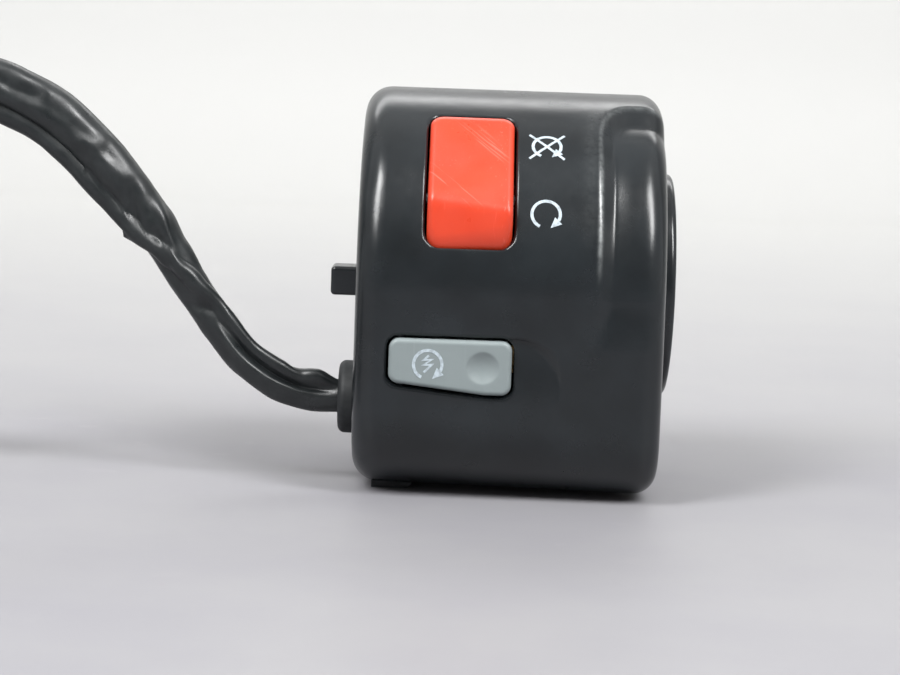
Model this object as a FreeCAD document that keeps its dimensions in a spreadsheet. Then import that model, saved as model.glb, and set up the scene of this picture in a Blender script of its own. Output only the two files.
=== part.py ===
import FreeCAD, Part
import math
import os

import Sketcher
from FreeCAD import Placement, Rotation, Vector

# Right-hand handlebar switch of a motorcycle, in millimetres.
# The origin is on the handlebar's axis at the middle of the case's width: +X points outboard along
# the bar, +Y forward (away from the rider) and +Z up.

SIZES = {
    # Case
    "case_width": 50.0,
    "case_radius": 32.3,
    "case_floor": 32.5,
    "lower_corner": 12.0,
    "front_reach": 24.0,
    "front_corner": 16.0,
    "wall": 2.5,
    "left_rim": 4.3,
    "right_rim": 3.8,
    # Handlebar and its two walls
    "bar_radius": 11.1,
    "bar_clearance": 0.05,
    "saddle_gap": 0.6,
    "saddle_wall": 4.0,
    "web_start": 4.4,
    "web_thickness": 3.2,
    # Throttle side
    "sleeve_radius": 14.6,
    "sleeve_clearance": 0.2,
    "lip_radius": 19.0,
    "lip_reach": 2.4,
    "lip_round": 1.0,
    "band_start": 14.5,
    "band_depth": 1.8,
    "band_deepest_angle": 68.0,
    "band_cut_angle": 25.0,
    "band_top": 23.2,
    "band_foot": 27.0,
    "band_corner": 6.5,
    "band_fade": 9.0,
    "cable_port_radius": 3.6,
    "cable_port_x": 15.0,
    "cable_port_spacing": 17.0,
    "cable_port_height": -4.0,
    # Lug on the left wall and foot tab under the case
    "lug_reach": 4.5,
    "lug_depth": 6.2,
    "lug_height": 4.8,
    "lug_front": 18.2,
    "lug_foot": -1.9,
    "lug_round": 0.6,
    "tab_height": 0.8,
    "tab_length": 6.0,
    "tab_depth": 7.0,
    "tab_start": -21.7,
    "tab_front": 20.8,
    "tab_ramp": 0.8,
    # Case screws
    "screw_radius": 2.5,
    "screw_head_radius": 4.2,
    "screw_head_height": 3.2,
    "screw_seat": 15.0,
    "screw_bite": 11.0,
    "screw_x": 6.0,
    "screw_upper": 21.5,
    "screw_lower": -22.5,
    "screw_boss_wall": 1.9,
    "screw_fit": 0.15,
    "recess_depth": 1.4,
    "recess_width": 4.0,
    # Stop rocker
    "stop_angle": 37.25,
    "rocker_x": -7.0,
    "rocker_width": 13.7,
    "rocker_gap": 0.35,
    "rocker_pin_depth": 8.3,
    "rocker_sweep": 13.6,
    "rocker_skirt_depth": 6.8,
    "rocker_ridge": -6.3,
    "rocker_ridge_rise": 1.6,
    "rocker_upper_drop": 1.95,
    "rocker_lower_drop": 4.1,
    "rocker_round": 0.9,
    "rocker_corner": 2.2,
    "rocker_skin": 1.6,
    "rocker_end_wall": 2.72,
    "rocker_barrel": 2.6,
    "rocker_pin_radius": 1.2,
    "pin_clearance": 0.05,
    "arm_reach": 5.7,
    "arm_width": 3.0,
    "arm_thickness": 2.0,
    "arm_tip_radius": 1.2,
    "arm_root": 4.0,
    "pillar_thickness": 4.0,
    "pillar_depth": 5.6,
    # Stop contacts
    "stop_base_drop": 20.3,
    "base_thickness": 1.6,
    "stop_base_depth": 12.0,
    "slider_length": 10.8,
    "slider_depth": 6.4,
    "slider_height": 4.6,
    "slider_lift": 0.7,
    "slot_clearance": 0.3,
    "slot_floor": 2.1,
    "bridge_length": 9.6,
    "bridge_width": 2.0,
    "bridge_thickness": 0.4,
    "bridge_dome_radius": 0.65,
    "contact_spacing": 6.8,
    "contact_radius": 1.2,
    "contact_rise": 0.35,
    "pad_thickness": 0.28,
    "tab_tail": 7.4,
    "tail_width": 1.4,
    "detent_ball_radius": 1.0,
    "detent_height": 2.9,
    "detent_pocket": 2.9,
    "detent_spring_gap": 0.45,
    "detent_spring_bore": 0.6,
    "small_screw_radius": 0.9,
    "small_head_radius": 1.7,
    "small_head_height": 0.9,
    "small_screw_bite": 6.0,
    "screw_hole_gap": 0.1,
    # Start button
    "button_left": -19.2,
    "button_right": 0.5,
    "button_top": -6.9,
    "button_left_foot": -13.95,
    "button_right_foot": -15.6,
    "button_knee": -3.9,
    "button_gap": 0.4,
    "button_rise": 0.9,
    "button_depth": 5.6,
    "button_corner": 1.6,
    "button_edge": 0.7,
    "button_skin": 1.5,
    "button_front_wall": 2.25,
    "dimple_radius": 2.6,
    "dimple_depth": 0.55,
    "dimple_x": -4.1,
    "dimple_height": -11.2,
    "button_pivot_x": -17.4,
    "button_pin_depth": 3.3,
    "button_pin_radius": 0.8,
    "button_ear": 2.1,
    "ear_width": 4.4,
    "ear_depth": 3.1,
    "scoop_radius": 7.25,
    "scoop_depth": 0.6,
    "scoop_x": 1.2,
    "scoop_height": -13.7,
    # Start plunger and contacts
    "nib_length": 1.2,
    "nib_width": 3.0,
    "plunger_gap": 0.3,
    "plunger_head_radius": 2.4,
    "plunger_head_height": 1.5,
    "plunger_radius": 1.5,
    "collar_radius": 3.0,
    "collar_thickness": 1.0,
    "collar_depth": 20.4,
    "start_bridge_length": 10.4,
    "start_bridge_width": 4.6,
    "start_contact_radius": 0.8,
    "start_contact_spacing": 8.4,
    "start_post_height": 2.2,
    "start_base_front": 15.4,
    "start_base_width": 12.0,
    "start_base_height": 19.6,
    "start_base_top": -1.8,
    "start_screw_upper": -3.9,
    "start_screw_lower": -18.9,
    "post_radius": 1.9,
    "plunger_tail": 0.9,
    "spring_wire": 0.4,
    "spring_radius": 2.0,
    "spring_turns": 4,
    # Grommet, clamp and harness
    "cord_diameter": 6.8,
    "cord_bore_gap": 0.05,
    "grommet_depth": 16.0,
    "grommet_height": -19.0,
    "grommet_radius": 6.05,
    "grommet_neck": 4.6,
    "grommet_reach": 2.7,
    "grommet_round": 1.1,
    "grommet_inner_radius": 5.6,
    "grommet_inner_reach": 1.5,
    "clamp_width": 3.0,
    "clamp_thickness": 1.5,
    "clamp_gap": 1.4,
    "clamp_post_depth": 9.4,
    "cradle_gap": 0.3,
    "sleeve_start": -24.2,
    "sleeve_past_clamp": 1.1,
    "lead_radius": 0.75,
    "lead_spread": 1.1,
    "lead_straight": 1.0,
    "lead_gap": 0.1,
    # Put-away coil and plug
    "coil_radius": 38.3,
    "coil_pitch": 7.3,
    "coil_turns": 1.25,
    "tail_radius": 21.5,
    "tail_turn": 135.0,
    "tie_angle": 20.0,
    "tie_width": 2.8,
    "tie_thickness": 0.75,
    "tie_gap": 0.35,
    "plug_length": 17.0,
    "plug_width": 11.0,
    "plug_height": 7.2,
    "plug_wall": 1.1,
    "plug_mouth": 6.5,
    "plug_round": 0.7,
    "pin_spacing": 2.9,
    "pin_width": 0.9,
    "latch_width": 3.2,
    "latch_length": 8.0,
    "latch_thickness": 0.8,
    "latch_lift": 0.5,
    "latch_foot": 1.65,
}

# Points of the harness's free stretch, from inside the grommet to the start of the coil
HARNESS_ROUTE = [
    (-24.2, -16.0, -19.0),
    (-31.2, -16.0, -19.0),
    (-38.0, -16.1, -16.9),
    (-43.8, -16.1, -12.7),
    (-48.4, -16.0, -6.8),
    (-57.0, -15.8, 4.9),
    (-66.3, -16.0, 16.5),
    (-75.6, -16.1, 25.7),
    (-87.5, -16.3, 31.2),
    (-99.5, -18.4, 30.4),
    (-109.5, -21.8, 25.6),
    (-116.0, -24.4, 15.6),
    (-119.0, -25.6, 4.0),
    (-121.0, -26.3, -8.5),
    (-125.2, -28.0, -18.3),
    (-132.8, -31.3, -25.6),
    (-142.4, -35.7, -28.8),
    (-152.5, -40.4, -28.8),
]

# Points of the two thin leads of each switch, first near the sleeve's end and then near the contacts.
# Near the sleeve x is measured from its end.
STOP_LEAD_ROUTES = [
    ([(1.5, -16.9, -14.2), (2.1, -18.6, -7.6)], [(-10.4, -17.8, -0.8)]),
    ([(0.9, -18.9, -13.4), (1.6, -20.6, -4.4)], [(-9.0, -20.2, 0.6), (-3.6, -17.4, -0.2)]),
]
START_LEAD_ROUTES = [
    ([(3.1, -16.6, -19.4), (4.1, -16.3, -14.5)], [(-10.2, -16.5, -11.2), (-9.15, -16.5, -11.2)]),
    ([(3.5, -18.6, -18.8), (5.9, -16.6, -15.6)], [(0.1, -16.5, -15.0), (0.1, -16.5, -12.05)]),
]

QUARTER_TURN = math.pi / 2
# Share of a route's run that its bend takes, and share of a blind support that a pin enters
RUN_SHARE = 0.45
PIN_SHARE = 0.75
GAP_POINTS = 12
NEIGHBOUR_DIAMETERS = 4
TINY = 1e-6
ALONG_X = Rotation(Vector(0, 1, 0), 90)
ALONG_Y = Rotation(Vector(1, 0, 0), -90)
ALONG_Z = Rotation()

document = FreeCAD.newDocument("HandlebarSwitch")
sheet = document.addObject("Spreadsheet::Sheet", "Sizes")
for row, (alias, value) in enumerate(SIZES.items(), start=1):
    sheet.set(f"A{row}", alias)
    sheet.set(f"B{row}", str(value))
    sheet.setAlias(f"B{row}", alias)
document.recompute()

parts = {}


class Size:
    """A length or angle with the spreadsheet expression that it comes from."""

    def __init__(self, value, text):
        self.value = value
        self.text = text

    def __add__(self, other):
        other = as_size(other)
        return Size(self.value + other.value, f"({self.text} + {other.text})")

    def __sub__(self, other):
        other = as_size(other)
        return Size(self.value - other.value, f"({self.text} - {other.text})")

    def __rsub__(self, other):
        return as_size(other) - self

    def __mul__(self, other):
        other = as_size(other)
        return Size(self.value * other.value, f"({self.text} * {other.text})")

    def __truediv__(self, other):
        other = as_size(other)
        return Size(self.value / other.value, f"({self.text} / {other.text})")

    def __neg__(self):
        return Size(-self.value, f"(0 - {self.text})")

    __radd__ = __add__
    __rmul__ = __mul__


def as_size(amount):
    """A plain number as a Size, and a Size as it is."""
    if isinstance(amount, Size):
        return amount
    return Size(float(amount), str(float(amount)))


class SizeBook:
    """The spreadsheet's cells by name."""

    def __getattr__(self, alias):
        return Size(float(sheet.get(alias)), f"Sizes.{alias}")


book = SizeBook()


def bind(thing, **lengths):
    """Tie properties of an object to the sheet."""
    for name, length in lengths.items():
        length = as_size(length)
        setattr(thing, name, length.value)
        thing.setExpression(name, length.text)
    return thing


def place(thing, at, turn=ALONG_Z):
    """Put an object at a point, given in sizes, with a fixed turn."""
    corner = [as_size(amount) for amount in at]
    thing.Placement = Placement(Vector(*[amount.value for amount in corner]), turn)
    for axis, amount in zip("xyz", corner):
        thing.setExpression(f"Placement.Base.{axis}", amount.text)
    return thing


def lean_back(thing, angle):
    """Turn an object made upright over the bar towards the rider, to an angle above the horizon."""
    turn = 90 - as_size(angle)
    thing.Placement = Placement(Vector(), Rotation(Vector(1, 0, 0), turn.value))
    thing.setExpression("Placement.Rotation.Angle", turn.text)
    return thing


def box(name, length, depth, height, at):
    """A block from its low corner."""
    block = document.addObject("Part::Box", name)
    bind(block, Length=length, Width=depth, Height=height)
    return place(block, at)


def cylinder(name, radius, length, at, turn=ALONG_Z):
    """A round bar from the middle of its first end."""
    bar = document.addObject("Part::Cylinder", name)
    bind(bar, Radius=radius, Height=length)
    return place(bar, at, turn)


def sphere(name, radius, at):
    """A ball about its middle."""
    ball = document.addObject("Part::Sphere", name)
    bind(ball, Radius=radius)
    return place(ball, at)


def joined(name, pieces):
    """Several solids as one."""
    fused = document.addObject("Part::MultiFuse", name)
    fused.Shapes = pieces
    fused.Refine = True
    return fused


def shared(name, pieces):
    """What several solids have in common."""
    common = document.addObject("Part::MultiCommon", name)
    common.Shapes = pieces
    return common


def without(name, base, tool):
    """A solid with another one taken out of it."""
    rest = document.addObject("Part::Cut", name)
    rest.Base = base
    rest.Tool = tool
    rest.Refine = True
    return rest


def group(name, solids):
    """Separate solids that share one node."""
    bundle = document.addObject("Part::Compound", name)
    bundle.Links = solids
    return bundle


def rounded(name, base, radius, wanted):
    """Fillet the edges that a test picks."""
    document.recompute()
    numbers = [index for index, edge in enumerate(base.Shape.Edges, start=1) if wanted(edge)]
    fillet = document.addObject("Part::Fillet", name)
    fillet.Base = base
    fillet.Edges = [(index, radius.value, radius.value) for index in numbers]
    return fillet


def keep(node, thing):
    """Name an object as the finished sub-part of a node."""
    thing.Label = node
    parts[node] = thing
    return thing


def solid(name, shape):
    """A sub-part whose shape is worked out from the sheet by code."""
    feature = document.addObject("Part::Feature", name)
    feature.Shape = shape
    feature.Placement = Placement()
    return feature


# Sketches


def origin_plane(body, role):
    """One of the origin planes of a body."""
    return next(feature for feature in body.Origin.OriginFeatures if feature.Role == role)


def outline_sketch(body, name, role, path):
    """Draw a closed counter-clockwise outline on an origin plane.

    Each entry of path is a corner and, where a round stretch leaves it, that stretch's middle.
    """
    sketch = body.newObject("Sketcher::SketchObject", name)
    sketch.AttachmentSupport = (origin_plane(body, role), "")
    sketch.MapMode = "FlatFace"
    corners = [[as_size(amount) for amount in corner] for corner, _ in path]
    for index, (_, middle) in enumerate(path):
        start, end = corners[index], corners[(index + 1) % len(path)]
        first = Vector(start[0].value, start[1].value, 0)
        last = Vector(end[0].value, end[1].value, 0)
        if middle is None:
            sketch.addGeometry(Part.LineSegment(first, last), False)
            continue
        centre = Vector(*[as_size(amount).value for amount in middle], 0)
        begin = math.atan2(first.y - centre.y, first.x - centre.x)
        finish = math.atan2(last.y - centre.y, last.x - centre.x)
        if finish < begin:
            finish += 2 * math.pi
        circle = Part.Circle(centre, Vector(0, 0, 1), (first - centre).Length)
        sketch.addGeometry(Part.ArcOfCircle(circle, begin, finish), False)
    for index, (corner, (_, middle)) in enumerate(zip(corners, path)):
        sketch.addConstraint(Sketcher.Constraint("Coincident", index, 2, (index + 1) % len(path), 1))
        for direction, amount in zip(("DistanceX", "DistanceY"), corner):
            number = sketch.addConstraint(
                Sketcher.Constraint(direction, -1, 1, index, 1, amount.value)
            )
            sketch.setExpression(f"Constraints[{number}]", amount.text)
        if middle is not None:
            reach = radius_between(corner, corners[(index + 1) % len(path)])
            number = sketch.addConstraint(Sketcher.Constraint("Radius", index, reach.value))
            sketch.setExpression(f"Constraints[{number}]", reach.text)
    return sketch


def radius_between(start, end):
    """Radius of a quarter round between two corners: the step between them along an axis."""
    step = end[0] - start[0]
    return step if step.value > 0 else -step


def pad(body, sketch, name, length):
    """Extrude a sketch evenly to both sides of its plane."""
    feature = body.newObject("PartDesign::Pad", name)
    feature.Profile = sketch
    feature.SideType = "Symmetric"
    bind(feature, Length=length)
    return feature


def half_outline(side, inset):
    """Side view of a case half, drawn inset from the outer surface; side is rider or front."""
    radius = book.case_radius - inset
    floor = book.case_floor - inset
    if side == "rider":
        corner = book.lower_corner - inset
        return [
            ((0, radius), (0, 0)),
            ((-radius, 0), None),
            ((-radius, corner - floor), (corner - radius, corner - floor)),
            ((corner - radius, -floor), None),
            ((0, -floor), None),
        ]
    corner = book.front_corner - inset
    reach = book.front_reach - inset
    return [
        ((0, -floor), None),
        ((reach - corner, -floor), (reach - corner, corner - floor)),
        ((reach, corner - floor), None),
        ((reach, radius - reach), (0, radius - reach)),
        ((0, radius), None),
    ]


def half_block(name, side, inset, length, middle=0):
    """A case half's outline, drawn inset, as a solid of some width about a place on the bar."""
    body = document.addObject("PartDesign::Body", name)
    sketch = outline_sketch(body, f"{name}_outline", "YZ_Plane", half_outline(side, inset))
    pad(body, sketch, f"{name}_pad", length)
    place(body, (middle, 0, 0))
    return body


def half_shell(side):
    """Outer wall of a case half with its rounded ends and its hollow."""
    body = half_block(f"{side}_shell", side, 0, book.case_width)
    document.recompute()
    base = body.Tip
    half_width = book.case_width.value / 2
    for end, radius in ((-half_width, book.left_rim), (half_width, book.right_rim)):
        edges = [
            f"Edge{index}"
            for index, edge in enumerate(base.Shape.Edges, start=1)
            if all(abs(point.Point.x - end) < TINY for point in edge.Vertexes)
            and any(abs(point.Point.y) > TINY for point in edge.Vertexes)
        ]
        fillet = body.newObject("PartDesign::Fillet", f"{side}_rim_{'left' if end < 0 else 'right'}")
        fillet.Base = (base, edges)
        bind(fillet, Radius=radius)
        document.recompute()
        base = fillet
    sketch = outline_sketch(body, f"{side}_hollow_outline", "YZ_Plane", half_outline(side, book.wall))
    hollow = body.newObject("PartDesign::Pocket", f"{side}_hollow")
    hollow.Profile = sketch
    hollow.SideType = "Symmetric"
    bind(hollow, Length=book.case_width - book.wall * 2)
    return body


# Places that several sub-parts share

left_face = -book.case_width / 2
right_face = book.case_width / 2
inner_radius = book.case_radius - book.wall
web_end = book.web_start + book.web_thickness
web_middle = book.web_start + book.web_thickness / 2
bar_bore = book.bar_radius + book.bar_clearance
sleeve_bore = book.sleeve_radius + book.sleeve_clearance

rocker_left = book.rocker_x - book.rocker_width / 2
rocker_right = book.rocker_x + book.rocker_width / 2
left_pillar = rocker_left - book.rocker_gap - book.pillar_thickness
right_pillar = rocker_right + book.rocker_gap
saddle_end = left_pillar - book.saddle_gap
rocker_pivot = book.case_radius - book.rocker_pin_depth
rocker_underside = book.case_radius - book.rocker_skirt_depth
stop_base_under = book.case_radius - book.stop_base_drop
stop_base_top = stop_base_under + book.base_thickness
pillar_top = book.case_radius - book.wall / 2

button_front = book.case_radius + book.button_rise
button_back = button_front - book.button_depth
button_pivot_depth = button_front - book.button_pin_depth
plunger_x = book.dimple_x
plunger_height = book.dimple_height
nib_end = button_back - book.nib_length
plunger_front = nib_end - book.plunger_gap
start_base_back = book.start_base_front - book.base_thickness

cord_radius = book.cord_diameter / 2
boss_radius = book.screw_radius + book.screw_boss_wall
clamp_start = left_face + book.wall + book.grommet_inner_reach + book.clamp_gap
sleeve_face = clamp_start + book.clamp_width + book.sleeve_past_clamp


def half_space(name, side):
    """A block over everything on one side of the parting plane."""
    start = -book.case_width if side == "rider" else as_size(0)
    return box(
        name,
        book.case_width * 3,
        book.case_width,
        book.case_width * 2,
        (-book.case_width * 1.5, start, -book.case_width),
    )


def saddle_and_lip(side):
    """The bar saddle, the web and the throttle lip of a case half, still without their bores."""
    saddle = cylinder(
        f"{side}_saddle",
        bar_bore + book.saddle_wall,
        saddle_end - left_face - book.wall / 2,
        (left_face + book.wall / 2, 0, 0),
        ALONG_X,
    )
    lip = cylinder(
        f"{side}_lip",
        book.lip_radius,
        book.lip_reach + book.wall / 2,
        (right_face - book.wall / 2, 0, 0),
        ALONG_X,
    )
    rim = right_face.value + book.lip_reach.value
    lip = rounded(
        f"{side}_lip_rounded",
        lip,
        book.lip_round,
        lambda edge: edge.Closed and abs(edge.BoundBox.XMin - rim) < TINY,
    )
    pair = joined(f"{side}_ring_pair", [saddle, lip])
    ring = shared(f"{side}_rings", [pair, half_space(f"{side}_side", side)])
    web = half_block(f"{side}_web", side, book.wall / 2, book.web_thickness, web_middle)
    return [ring, web]


def bores(side):
    """The handlebar's bore and the throttle sleeve's bore."""
    bar = cylinder(
        f"{side}_bar_bore",
        bar_bore,
        web_end - left_face + book.lug_reach * 2,
        (left_face - book.lug_reach * 2, 0, 0),
        ALONG_X,
    )
    sleeve = cylinder(
        f"{side}_sleeve_bore",
        sleeve_bore,
        right_face + book.lip_reach * 2 - web_end,
        (web_end, 0, 0),
        ALONG_X,
    )
    return [bar, sleeve]


def screw_places():
    """Names and heights of the two case screws."""
    return (("upper", book.screw_upper), ("lower", book.screw_lower))


def switch_housing():
    """Rider-side half of the case."""
    shell = half_shell("rider")
    adds = [shell] + saddle_and_lip("rider")
    for name, height in screw_places():
        adds.append(
            cylinder(
                f"rider_{name}_boss",
                boss_radius,
                book.screw_bite + book.wall,
                (book.screw_x, -(book.screw_bite + book.wall), height),
                ALONG_Y,
            )
        )
    adds.append(lean_back(joined("rocker_pillars", rocker_pillars()), book.stop_angle))
    adds += start_supports() + harness_supports() + band_backing() + [side_lug()] + foot_tab()
    tools = bores("rider") + [band_cutter(), scoop_cutter(), button_window(), grommet_hole()]
    for name, height in screw_places():
        tools.append(
            cylinder(
                f"rider_{name}_screw_hole",
                book.screw_radius + book.screw_fit,
                book.screw_bite + book.screw_fit,
                (book.screw_x, -(book.screw_bite + book.screw_fit), height),
                ALONG_Y,
            )
        )
    tools.append(lean_back(joined("rocker_cuts", rocker_cuts()), book.stop_angle))
    tools += start_holes() + [clamp_hole()]
    body = joined("switch_housing_solid", adds)
    keep("switch_housing", without("switch_housing_cut", body, joined("switch_housing_tools", tools)))


def clamp_housing():
    """Front half of the case."""
    adds = [half_shell("front")] + saddle_and_lip("front")
    tools = bores("front")
    for name, height in screw_places():
        column = cylinder(
            f"front_{name}_column",
            book.screw_head_radius + book.screw_boss_wall,
            book.front_reach,
            (book.screw_x, 0, height),
            ALONG_Y,
        )
        inside = half_block(f"front_{name}_limit", "front", 0, book.case_width)
        adds.append(shared(f"front_{name}_boss", [column, inside]))
        tools.append(
            cylinder(
                f"front_{name}_hole",
                book.screw_radius + book.screw_fit,
                book.front_reach,
                (book.screw_x, 0, height),
                ALONG_Y,
            )
        )
        tools.append(
            cylinder(
                f"front_{name}_head_room",
                book.screw_head_radius + book.screw_fit,
                book.front_reach,
                (book.screw_x, book.screw_seat, height),
                ALONG_Y,
            )
        )
    for name, step in (("upper", 0.5), ("lower", -0.5)):
        tools.append(
            cylinder(
                f"{name}_cable_port",
                book.cable_port_radius,
                book.wall * 3,
                (
                    book.cable_port_x,
                    book.front_reach - book.wall * 2,
                    book.cable_port_height + book.cable_port_spacing * step,
                ),
                ALONG_Y,
            )
        )
    body = joined("clamp_housing_solid", adds)
    keep("clamp_housing", without("clamp_housing_cut", body, joined("clamp_housing_tools", tools)))


def case_screws():
    """Two machine screws that pull the halves together."""
    screws = []
    for name, height in screw_places():
        shank = cylinder(
            f"{name}_shank",
            book.screw_radius,
            book.screw_seat + book.screw_bite,
            (book.screw_x, -book.screw_bite, height),
            ALONG_Y,
        )
        head = cylinder(
            f"{name}_head",
            book.screw_head_radius,
            book.screw_head_height,
            (book.screw_x, book.screw_seat, height),
            ALONG_Y,
        )
        across = box(
            f"{name}_recess_across",
            book.recess_width,
            book.recess_depth,
            book.small_screw_radius,
            (
                book.screw_x - book.recess_width / 2,
                book.screw_seat + book.screw_head_height - book.recess_depth,
                height - book.small_screw_radius / 2,
            ),
        )
        upright = box(
            f"{name}_recess_upright",
            book.small_screw_radius,
            book.recess_depth,
            book.recess_width,
            (
                book.screw_x - book.small_screw_radius / 2,
                book.screw_seat + book.screw_head_height - book.recess_depth,
                height - book.recess_width / 2,
            ),
        )
        cross = joined(f"{name}_recess", [across, upright])
        screws.append(without(f"{name}_case_screw", joined(f"{name}_screw_body", [shank, head]), cross))
    keep("case_screws", group("case_screw_pair", screws))


# Shapes cut into or added to the rider-side half


def band_cutter():
    """The recess along the throttle side, bounded by an off-centre cylinder that runs out below."""
    body = document.addObject("PartDesign::Body", "band_region")
    reach = book.case_width
    outline = [
        ((book.band_start, -book.band_foot), None),
        ((reach, -book.band_foot), None),
        ((reach, book.band_top), None),
        (
            (book.band_start + book.band_corner, book.band_top),
            (book.band_start + book.band_corner, book.band_top - book.band_corner),
        ),
        ((book.band_start, book.band_top - book.band_corner), None),
    ]
    sketch = outline_sketch(body, "band_outline", "XY_Plane", outline)
    block = body.newObject("PartDesign::Pad", "band_pad")
    block.Profile = sketch
    bind(block, Length=book.case_width)
    lean_back(body, book.band_cut_angle)
    angle = math.radians(book.band_deepest_angle.value)
    inward = book.band_depth * math.cos(angle)
    drop = book.band_depth * math.sin(angle)
    core = cylinder(
        "band_core", book.case_radius, book.case_width * 2, (0, inward, -drop), ALONG_X
    )
    fade = document.addObject("PartDesign::Body", "band_fade")
    ramp = [
        ((0, -drop), None),
        ((inward - book.case_radius, -drop), None),
        ((-book.case_radius - inward, drop - book.band_fade * 2), None),
        ((0, drop - book.band_fade * 2), None),
    ]
    ramp_sketch = outline_sketch(fade, "band_fade_outline", "YZ_Plane", ramp)
    pad(fade, ramp_sketch, "band_fade_pad", book.case_width * 2)
    return without("band_cutter", body, joined("band_floor", [core, fade]))


def scoop_cutter():
    """Shallow thumb hollow beside the start button."""
    return cylinder(
        "thumb_scoop",
        book.scoop_radius,
        book.wall,
        (book.scoop_x, book.scoop_depth - book.case_radius - book.wall, book.scoop_height),
        ALONG_Y,
    )


def button_outline(gap):
    """Front view of the start button, widened by a gap."""
    return [
        ((book.button_left - gap, book.button_top + gap), None),
        ((book.button_left - gap, book.button_left_foot - gap), None),
        ((book.button_knee, book.button_right_foot - gap), None),
        ((book.button_right + gap, book.button_right_foot - gap), None),
        ((book.button_right + gap, book.button_top + gap), None),
    ]


def button_block(name, gap, length):
    """The start button's front outline as a block along Y, about the parting plane."""
    body = document.addObject("PartDesign::Body", name)
    sketch = outline_sketch(body, f"{name}_outline", "XZ_Plane", button_outline(gap))
    pad(body, sketch, f"{name}_pad", length)
    document.recompute()
    base = body.Tip
    edges = [
        f"Edge{index}"
        for index, edge in enumerate(base.Shape.Edges, start=1)
        if edge.BoundBox.XLength < TINY and edge.BoundBox.ZLength < TINY
        and abs(edge.Vertexes[0].Point.x - book.button_knee.value) > TINY
    ]
    fillet = body.newObject("PartDesign::Fillet", f"{name}_corners")
    fillet.Base = (base, edges)
    bind(fillet, Radius=book.button_corner + gap)
    return body


def button_window():
    """Opening of the start button through the rider-side wall."""
    tool = button_block("button_window", book.button_gap, book.wall * 6)
    return place(tool, (0, -book.case_radius, 0))


def grommet_hole():
    """Hole of the grommet's neck in the left wall."""
    return cylinder(
        "grommet_hole",
        book.grommet_neck,
        book.wall * 3,
        (left_face - book.wall, -book.grommet_depth, book.grommet_height),
        ALONG_X,
    )


def rocker_pillars():
    """Two pillars that carry the rocker's pin and the stop contact base."""
    pillars = []
    for name, start in (("left", left_pillar), ("right", right_pillar)):
        pillars.append(
            box(
                f"{name}_pillar",
                book.pillar_thickness,
                book.pillar_depth,
                pillar_top - stop_base_top,
                (start, -book.pillar_depth / 2, stop_base_top),
            )
        )
    return pillars


def pillar_screw_places():
    """Where the two screws of the stop base stand along the bar."""
    half = book.pillar_thickness / 2
    return (("left", left_pillar + half), ("right", right_pillar + half))


def swept_block(name, gap):
    """What the rocker's rounded ends sweep about its pin, widened by a gap."""
    block = cylinder(
        f"{name}_cylinder",
        book.rocker_sweep + gap,
        book.rocker_width + gap * 2,
        (rocker_left - gap, 0, rocker_pivot),
        ALONG_X,
    )
    return rounded(name, block, book.rocker_corner + gap, lambda edge: edge.Closed)


def rocker_cuts():
    """The rocker's window, its pin hole and the screw holes of the stop base."""
    sweep = swept_block("rocker_window_sweep", book.rocker_gap)
    upper = box(
        "rocker_window_upper",
        book.case_width,
        book.case_width,
        book.case_width,
        (rocker_left - book.case_width / 2, -book.case_width / 2, rocker_pivot + book.rocker_gap),
    )
    pin_hole = cylinder(
        "rocker_pin_hole",
        book.rocker_pin_radius,
        rocker_pin_length(),
        (left_pillar, 0, rocker_pivot),
        ALONG_X,
    )
    cuts = [shared("rocker_window", [sweep, upper]), pin_hole]
    for name, middle in pillar_screw_places():
        cuts.append(
            cylinder(
                f"{name}_pillar_hole",
                book.small_screw_radius,
                book.small_screw_bite,
                (middle, 0, stop_base_top),
            )
        )
    return cuts


def rocker_pin_length():
    """The pin runs from the outer face of the left pillar into the right one."""
    return right_pillar + book.pillar_thickness * PIN_SHARE - left_pillar


def start_supports():
    """Ears for the start button's pin and posts for the start contact base."""
    ears = []
    left = book.button_pivot_x - book.ear_width / 2
    front = -(book.case_radius - book.wall / 2)
    upper = book.button_top + book.button_gap
    lower = lower_ear_top() - book.button_ear
    for name, foot in (("upper", upper), ("lower", lower)):
        ears.append(
            box(f"{name}_ear", book.ear_width, book.ear_depth, book.button_ear, (left, front, foot))
        )
    posts = []
    for name, height in start_screw_places():
        posts.append(
            cylinder(
                f"{name}_start_post",
                book.post_radius,
                book.case_radius - book.wall / 2 - book.start_base_front,
                (plunger_x, -(book.case_radius - book.wall / 2), height),
                ALONG_Y,
            )
        )
    return ears + posts


def lower_ear_top():
    """Height of the lower ear, just under the button's sloping lower edge."""
    fall = (book.button_left_foot - book.button_right_foot) / (book.button_knee - book.button_left)
    right_end = book.button_pivot_x + book.ear_width / 2
    return book.button_left_foot - (right_end - book.button_left) * fall - book.button_gap


def start_screw_places():
    """Names and heights of the two screws of the start base."""
    return (("upper", book.start_screw_upper), ("lower", book.start_screw_lower))


def start_holes():
    """The start button's pin hole and the screw holes of the start base."""
    holes = [
        cylinder(
            "button_pin_hole",
            book.button_pin_radius,
            button_pin_length(),
            (book.button_pivot_x, -button_pivot_depth, button_pin_foot()),
        )
    ]
    for name, height in start_screw_places():
        holes.append(
            cylinder(
                f"{name}_start_hole",
                book.small_screw_radius,
                book.small_screw_bite,
                (plunger_x, -(book.start_base_front + book.small_screw_bite), height),
                ALONG_Y,
            )
        )
    return holes


def button_pin_foot():
    """Lower end of the start button's pin, inside the lower ear."""
    return lower_ear_top() - book.button_ear * PIN_SHARE


def button_pin_length():
    """The pin reaches as far into the upper ear."""
    return book.button_top + book.button_gap + book.button_ear * PIN_SHARE - button_pin_foot()


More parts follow.
